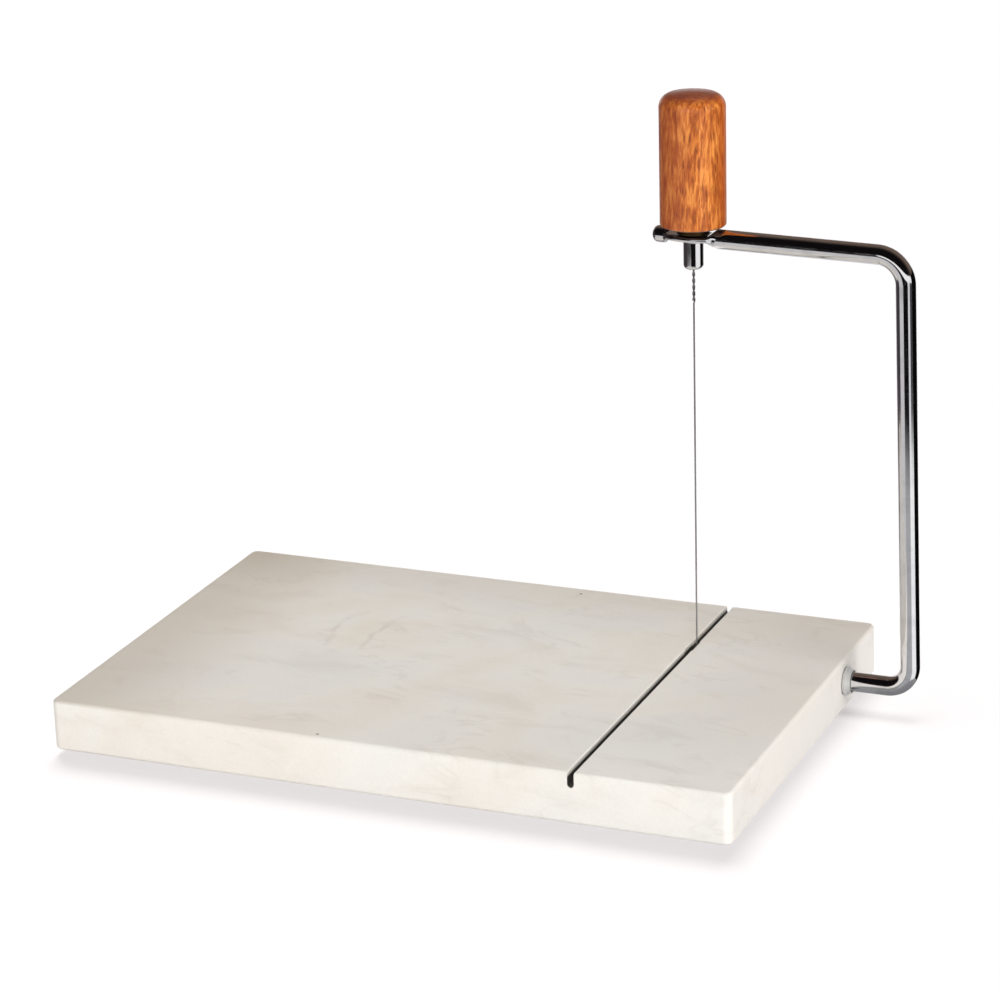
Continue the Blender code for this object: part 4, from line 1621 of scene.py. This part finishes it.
@dataclass(frozen=True)
class Flag:
    """A dark or grey flag that only reflections see, whose shade may change from place to place."""

    name: str
    near: Colour
    far: Colour
    centre: Sequence[float]
    near_at: float
    far_at: float
    sweep_step: float = math.radians(10)
    dome_segments: int = 64
    dome_rings: int = 48

    def _finish(self, flag: bpy.types.Object, by_depth: bool) -> bpy.types.Object:
        """Gives the flag its shade and hides it from all but reflections.

        Args:
            flag: the flag's object.
            by_depth: whether the shade changes along Y, and not with the distance from the centre.

        Returns:
            The same object.
        """
        recipe = Recipe(self.name)
        at = recipe.placed(self.centre)
        place = recipe.axis(at, "Y") if by_depth else recipe.distance(at)
        share = recipe.level(place, self.near_at, self.far_at)
        shade = recipe.blend(share, linear(self.near), linear(self.far))
        recipe.shade(Base_Color=(0, 0, 0, 1), Emission_Color=shade, Emission_Strength=1.0)
        recipe.shade(Specular_IOR_Level=0.0)
        flag.data.materials.append(recipe.material)
        for ray in ("camera", "diffuse", "transmission", "volume_scatter", "shadow"):
            setattr(flag, f"visible_{ray}", False)
        return flag

    def sweep(self, start: float, end: float, outline: Sequence[tuple[float, float]]) -> bpy.types.Object:
        """Sweeps an outline round the flag's centre.

        Args:
            start: where the sweep starts, in radians to the right of the way to the front.
            end: where it ends.
            outline: the outline's points, as (distance from the centre, height over the floor).

        Returns:
            The flag.
        """
        form = bmesh.new()
        toward = Vector((math.sin(start), -math.cos(start), 0))
        verts = [form.verts.new(toward * away + Vector((0, 0, height))) for away, height in outline]
        edges = [form.edges.new(pair) for pair in zip(verts, verts[1:])]
        steps = max(2, round((end - start) / self.sweep_step))
        bmesh.ops.spin(form, geom=[*verts, *edges], cent=(0, 0, 0), axis=(0, 0, 1), dvec=(0, 0, 0),
                       angle=end - start, steps=steps, use_merge=False, use_duplicate=False)
        bmesh.ops.translate(form, vec=(self.centre[0], self.centre[1], 0), verts=form.verts)
        return self._finish(as_object(self.name, form), by_depth=False)

    def dome(self, radius: float, lowest: float) -> bpy.types.Object:
        """Hangs the flag overhead as a dome, open below an elevation in radians.

        Args:
            radius: the dome's radius.
            lowest: the elevation of its rim.

        Returns:
            The flag.
        """
        form = bmesh.new()
        bmesh.ops.create_uvsphere(form, u_segments=self.dome_segments, v_segments=self.dome_rings,
                                  radius=radius)
        cut = radius * math.sin(lowest)
        bmesh.ops.bisect_plane(form, geom=[*form.verts, *form.edges, *form.faces], dist=MERGE_DISTANCE,
                               plane_co=(0, 0, cut), plane_no=(0, 0, -1), clear_outer=True)
        return self._finish(as_object(self.name, form), by_depth=True)


@dataclass(frozen=True)
class Sector:
    """A flag that lies on the floor round the arm's upright, and may end in a wall.

    The angles are in degrees to the right of the way to the camera, the rest in metres from the upright.
    """

    name: str
    near: Colour
    far: Colour
    near_at: float
    far_at: float
    start: float
    end: float
    inner: float = FLAG_HUB
    outer: float = FLAG_REACH
    wall_top: float = 0.0
    lift: float = 0.0003

    def build(self, foot: Sequence[float], way: float) -> bpy.types.Object:
        """Lays the flag.

        Args:
            foot: the point under the upright.
            way: the way to the camera, in radians to the right of the way to the front.

        Returns:
            The flag.
        """
        outline = [(self.inner, self.lift), (self.outer, self.lift)]
        if self.wall_top:
            outline.append((self.outer, self.wall_top))
        flag = Flag(self.name, self.near, self.far, foot, self.near_at, self.far_at)
        return flag.sweep(way + math.radians(self.start), way + math.radians(self.end), outline)


@dataclass(frozen=True)
class PhotoCamera:
    """The camera at the photograph's viewing angle, placed from the slab's front left top corner."""

    corner: Vector
    azimuth: float = math.radians(23.421)
    elevation: float = math.radians(19.418)
    roll: float = math.radians(-1.978)
    focal_mm: float = 127.16
    distance: float = 1.1293
    across: float = 0.14391
    above: float = 0.06408
    sensor_mm: float = 36.0
    clip_near: float = 0.01
    clip_far: float = 50.0

    def build(self) -> bpy.types.Object:
        """Adds the camera and makes it the scene's.

        Returns:
            The camera.
        """
        a, e = self.azimuth, self.elevation
        back = Vector((math.sin(a) * math.cos(e), -math.cos(a) * math.cos(e), math.sin(e)))
        level_right = Vector((math.cos(a), math.sin(a), 0))
        level_up = back.cross(level_right)
        right = level_right * math.cos(self.roll) + level_up * math.sin(self.roll)
        up = level_up * math.cos(self.roll) - level_right * math.sin(self.roll)
        data = bpy.data.cameras.new("photo_camera")
        data.sensor_width = self.sensor_mm
        data.lens = self.focal_mm
        data.clip_start = self.clip_near
        data.clip_end = self.clip_far
        camera = bpy.data.objects.new("photo_camera", data)
        bpy.context.scene.collection.objects.link(camera)
        turn = Matrix((right, up, back)).transposed()
        place = self.corner + back * self.distance + right * self.across + up * self.above
        camera.matrix_world = Matrix.Translation(place) @ turn.to_4x4()
        bpy.context.scene.camera = camera
        return camera


@dataclass(frozen=True)
class Studio:
    """A white floor, soft lights, and the flags and the card that only reflections see."""

    upright: Vector
    ferrule: Vector
    ambient: float = 0.2
    floor_half: float = 6.0
    floor_shade: float = 0.15
    floor_glow: float = 0.535
    floor_lift: float = 0.28
    glow_tint: Colour = (255, 248, 249)
    card_away: float = 0.008
    card_drop: float = 0.008
    card_span: Span = (20, 64)  # in degrees to the right of the way to the camera
    dome_radius: float = 2.6
    dome_lowest: float = math.radians(13)
    suns: Sequence[Sun] = (
        Sun("overhead_light", (-0.14, 0.82, 1.0), 0.44, math.radians(27), (255, 254, 252)),
        Sun("front_light", (-0.1, -1.0, 0.1), 1.04, math.radians(60), (251, 254, 255)),
        Sun("right_light", (1.0, -0.2, 0.36), 0.75, math.radians(40), (255, 254, 252)),
        Sun("slab_shadow_light", (-0.24, 0.53, 1.0), 2.24, math.radians(32), (255, 255, 253), "stone_board"),
        Sun("arm_shadow_light", (-0.1, -0.1, 1.0), 1.28, math.radians(30), (255, 255, 255), "bent_rod"),
    )
    sectors: Sequence[Sector] = (
        Sector("under_flag", (132, 132, 134), (150, 150, 152), 0.004, 0.02, -180, 180, 0.0, FLAG_HUB),
        Sector("front_flag", (176, 176, 178), (14, 12, 13), 0.24, 0.38, -38, 15),
        Sector("bright_flag", (255, 255, 255), (226, 226, 228), 0.27, 0.42, 15, 36),
        Sector("front_right_flag", (255, 255, 255), (64, 64, 67), 0.27, 0.42, 36, 64),
        Sector("right_back_flag", (5, 5, 6), (8, 8, 9), 0.1, 0.4, 64, 142, wall_top=FLAG_WALL_TOP),
        Sector("back_flag", (226, 226, 228), (150, 150, 153), 0.1, 0.4, 142, 214),
        Sector("left_back_flag", (96, 92, 96), (64, 58, 62), 0.2, 0.42, 214, 275, wall_top=FLAG_WALL_TOP),
        Sector("left_flag", (150, 152, 148), (208, 206, 206), 0.03, 0.15, 275, 322, outer=0.62),
        Sector("left_far_flag", (34, 30, 31), (20, 18, 19), 0.62, 0.9, 275, 322, inner=0.62,
               wall_top=FLAG_WALL_TOP),
    )

    def build(self) -> None:
        """Adds the floor, the lights, the world and the flags."""
        self._world()
        floor = self._floor()
        for sun in self.suns:
            sun.build(floor)
        self._flags()

    def _shown(self, nodes: bpy.types.Nodes, links: bpy.types.NodeLinks) -> Socket:
        """1 for rays from the camera, a mirror or glass, and 0 for those that light things.

        Args:
            nodes: the tree's nodes.
            links: its links.

        Returns:
            The value.
        """
        path = nodes.new("ShaderNodeLightPath")
        total = path.outputs["Is Camera Ray"]
        for name in ("Is Glossy Ray", "Is Transmission Ray"):
            node = nodes.new("ShaderNodeMath")
            node.operation = "MAXIMUM"
            links.new(total, node.inputs[0])
            links.new(path.outputs[name], node.inputs[1])
            total = node.outputs["Value"]
        return total

    def _world(self) -> None:
        """A world that is white where it is seen, and a plain soft light otherwise."""
        world = bpy.data.worlds.new("pale_studio")
        world.use_nodes = True
        bpy.context.scene.world = world
        nodes, links = world.node_tree.nodes, world.node_tree.links
        background = nodes["Background"]
        background.inputs["Color"].default_value = (1, 1, 1, 1)
        strength = nodes.new("ShaderNodeMapRange")
        links.new(self._shown(nodes, links), strength.inputs["Value"])
        strength.inputs["To Min"].default_value = self.ambient
        strength.inputs["To Max"].default_value = 1.0
        links.new(strength.outputs["Result"], background.inputs["Strength"])

    def _floor(self) -> bpy.types.Object:
        """The white floor, lifted to white where it is seen, which still takes the object's shadow.

        Returns:
            The floor.
        """
        form = bmesh.new()
        bmesh.ops.create_grid(form, x_segments=1, y_segments=1, size=self.floor_half)
        floor = as_object("floor", form)
        recipe = Recipe("white_floor")
        recipe.shade(Base_Color=(self.floor_shade, self.floor_shade, self.floor_shade, 1),
                     Emission_Color=linear(self.glow_tint), Roughness=1.0)
        recipe.shade(Specular_IOR_Level=0.0)
        glow = recipe.nodes.new("ShaderNodeMapRange")
        recipe.feed(glow.inputs["Value"], self._shown(recipe.nodes, recipe.links))
        glow.inputs["To Min"].default_value = self.floor_lift
        glow.inputs["To Max"].default_value = self.floor_glow
        recipe.shade(Emission_Strength=glow.outputs["Result"])
        floor.data.materials.append(recipe.material)
        return floor

    def _flags(self) -> None:
        """The dark dome overhead, the flags round the arm's upright, and the ferrule's bright card."""
        overhead = Flag("overhead_flag", (16, 14, 15), (112, 96, 86), (0, 0, 0), -0.6, 1.6)
        overhead.dome(self.dome_radius, self.dome_lowest)
        way = PhotoCamera.azimuth
        for sector in self.sectors:
            sector.build((self.upright.x, self.upright.y, 0), way)
        card = Flag("ferrule_card", (250, 248, 248), (250, 248, 248), self.ferrule, 0.0, 1.0)
        low, high = self.ferrule.z - self.card_drop, self.ferrule.z + self.card_drop / 2
        start, end = (way + math.radians(angle) for angle in self.card_span)
        card.sweep(start, end, [(self.card_away, low), (self.card_away, high)])


def arm_place(joints: Sequence[dict]) -> Matrix:
    """Where the arm's own frame lies at rest.

    Args:
        joints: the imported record's joints.

    Returns:
        The matrix that takes the arm's frame to the model's.
    """
    found = {joint["name"]: joint for joint in joints}
    along_pivot = Vector(found["arm_pivot"]["axis"]).normalized()
    along_wire = Vector(found["handle_turn"]["axis"]).normalized()
    columns = (along_pivot, along_wire.cross(along_pivot), along_wire)
    turn = Matrix(columns).transposed().to_4x4()
    return Matrix.Translation(found["arm_pivot"]["pos_m"]) @ turn


def main() -> None:
    """Builds the slicer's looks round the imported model."""
    logging.basicConfig(level=logging.INFO, format="%(name)s: %(message)s")
    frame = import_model()
    place = arm_place(frame["joints"])
    pivot = place.translation
    board_low, board_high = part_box("marble_board")

    finishes = Finishes(
        marble=MarbleFinish(board_low, board_high, pivot.x).material(),
        chrome=MetalFinish("mirror_chrome", (232, 232, 234), 0.07, 0.05).material(),
        satin=MetalFinish("satin_nickel", (208, 208, 206), 0.4, 0.08, metallic=0.35).material(),
        wire_steel=MetalFinish("drawn_steel", (176, 176, 178), 0.26, 0.14, 900.0, (1, 1, 12)).material(),
        # brass colour, darkened to paint the shade of the gap under the handle
        brass=MetalFinish("aged_brass", (92, 70, 44), 0.34, 0.15, 500.0, (1, 1, 6)).material(),
        wood=WoodFinish(*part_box("handle")).material(),
        rubber=RubberFinish().material(),
    )
    MarbleBoard(board_low, board_high, pivot).build(finishes)
    PivotBushing(Vector((board_high.x + FIT_GAP, pivot.y, pivot.z))).build(finishes)
    for node in FEET:
        RubberFoot(node, *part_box(node)).build(finishes)
    arm = BentArm(place)
    arm.build(finishes)
    wire = TautWire(place)
    wire.wire(finishes)
    wire.bead(finishes)
    wire.ferrule(finishes)
    wire.screw(finishes)
    grip = TurnedGrip(place)
    grip.wood(finishes)
    grip.insert(finishes)

    upright = place @ Vector((arm.leg_from_wire - arm.height / 2 * math.tan(arm.leg_lean), 0, 0))
    ferrule = place @ Vector((0, 0, wire.ferrule_top - wire.ferrule_length / 2))
    Studio(upright, ferrule).build()
    PhotoCamera(Vector((board_low.x, board_low.y, board_high.z))).build()
    bpy.context.scene.view_settings.view_transform = "Standard"


if __name__ == "__main__":
    main()
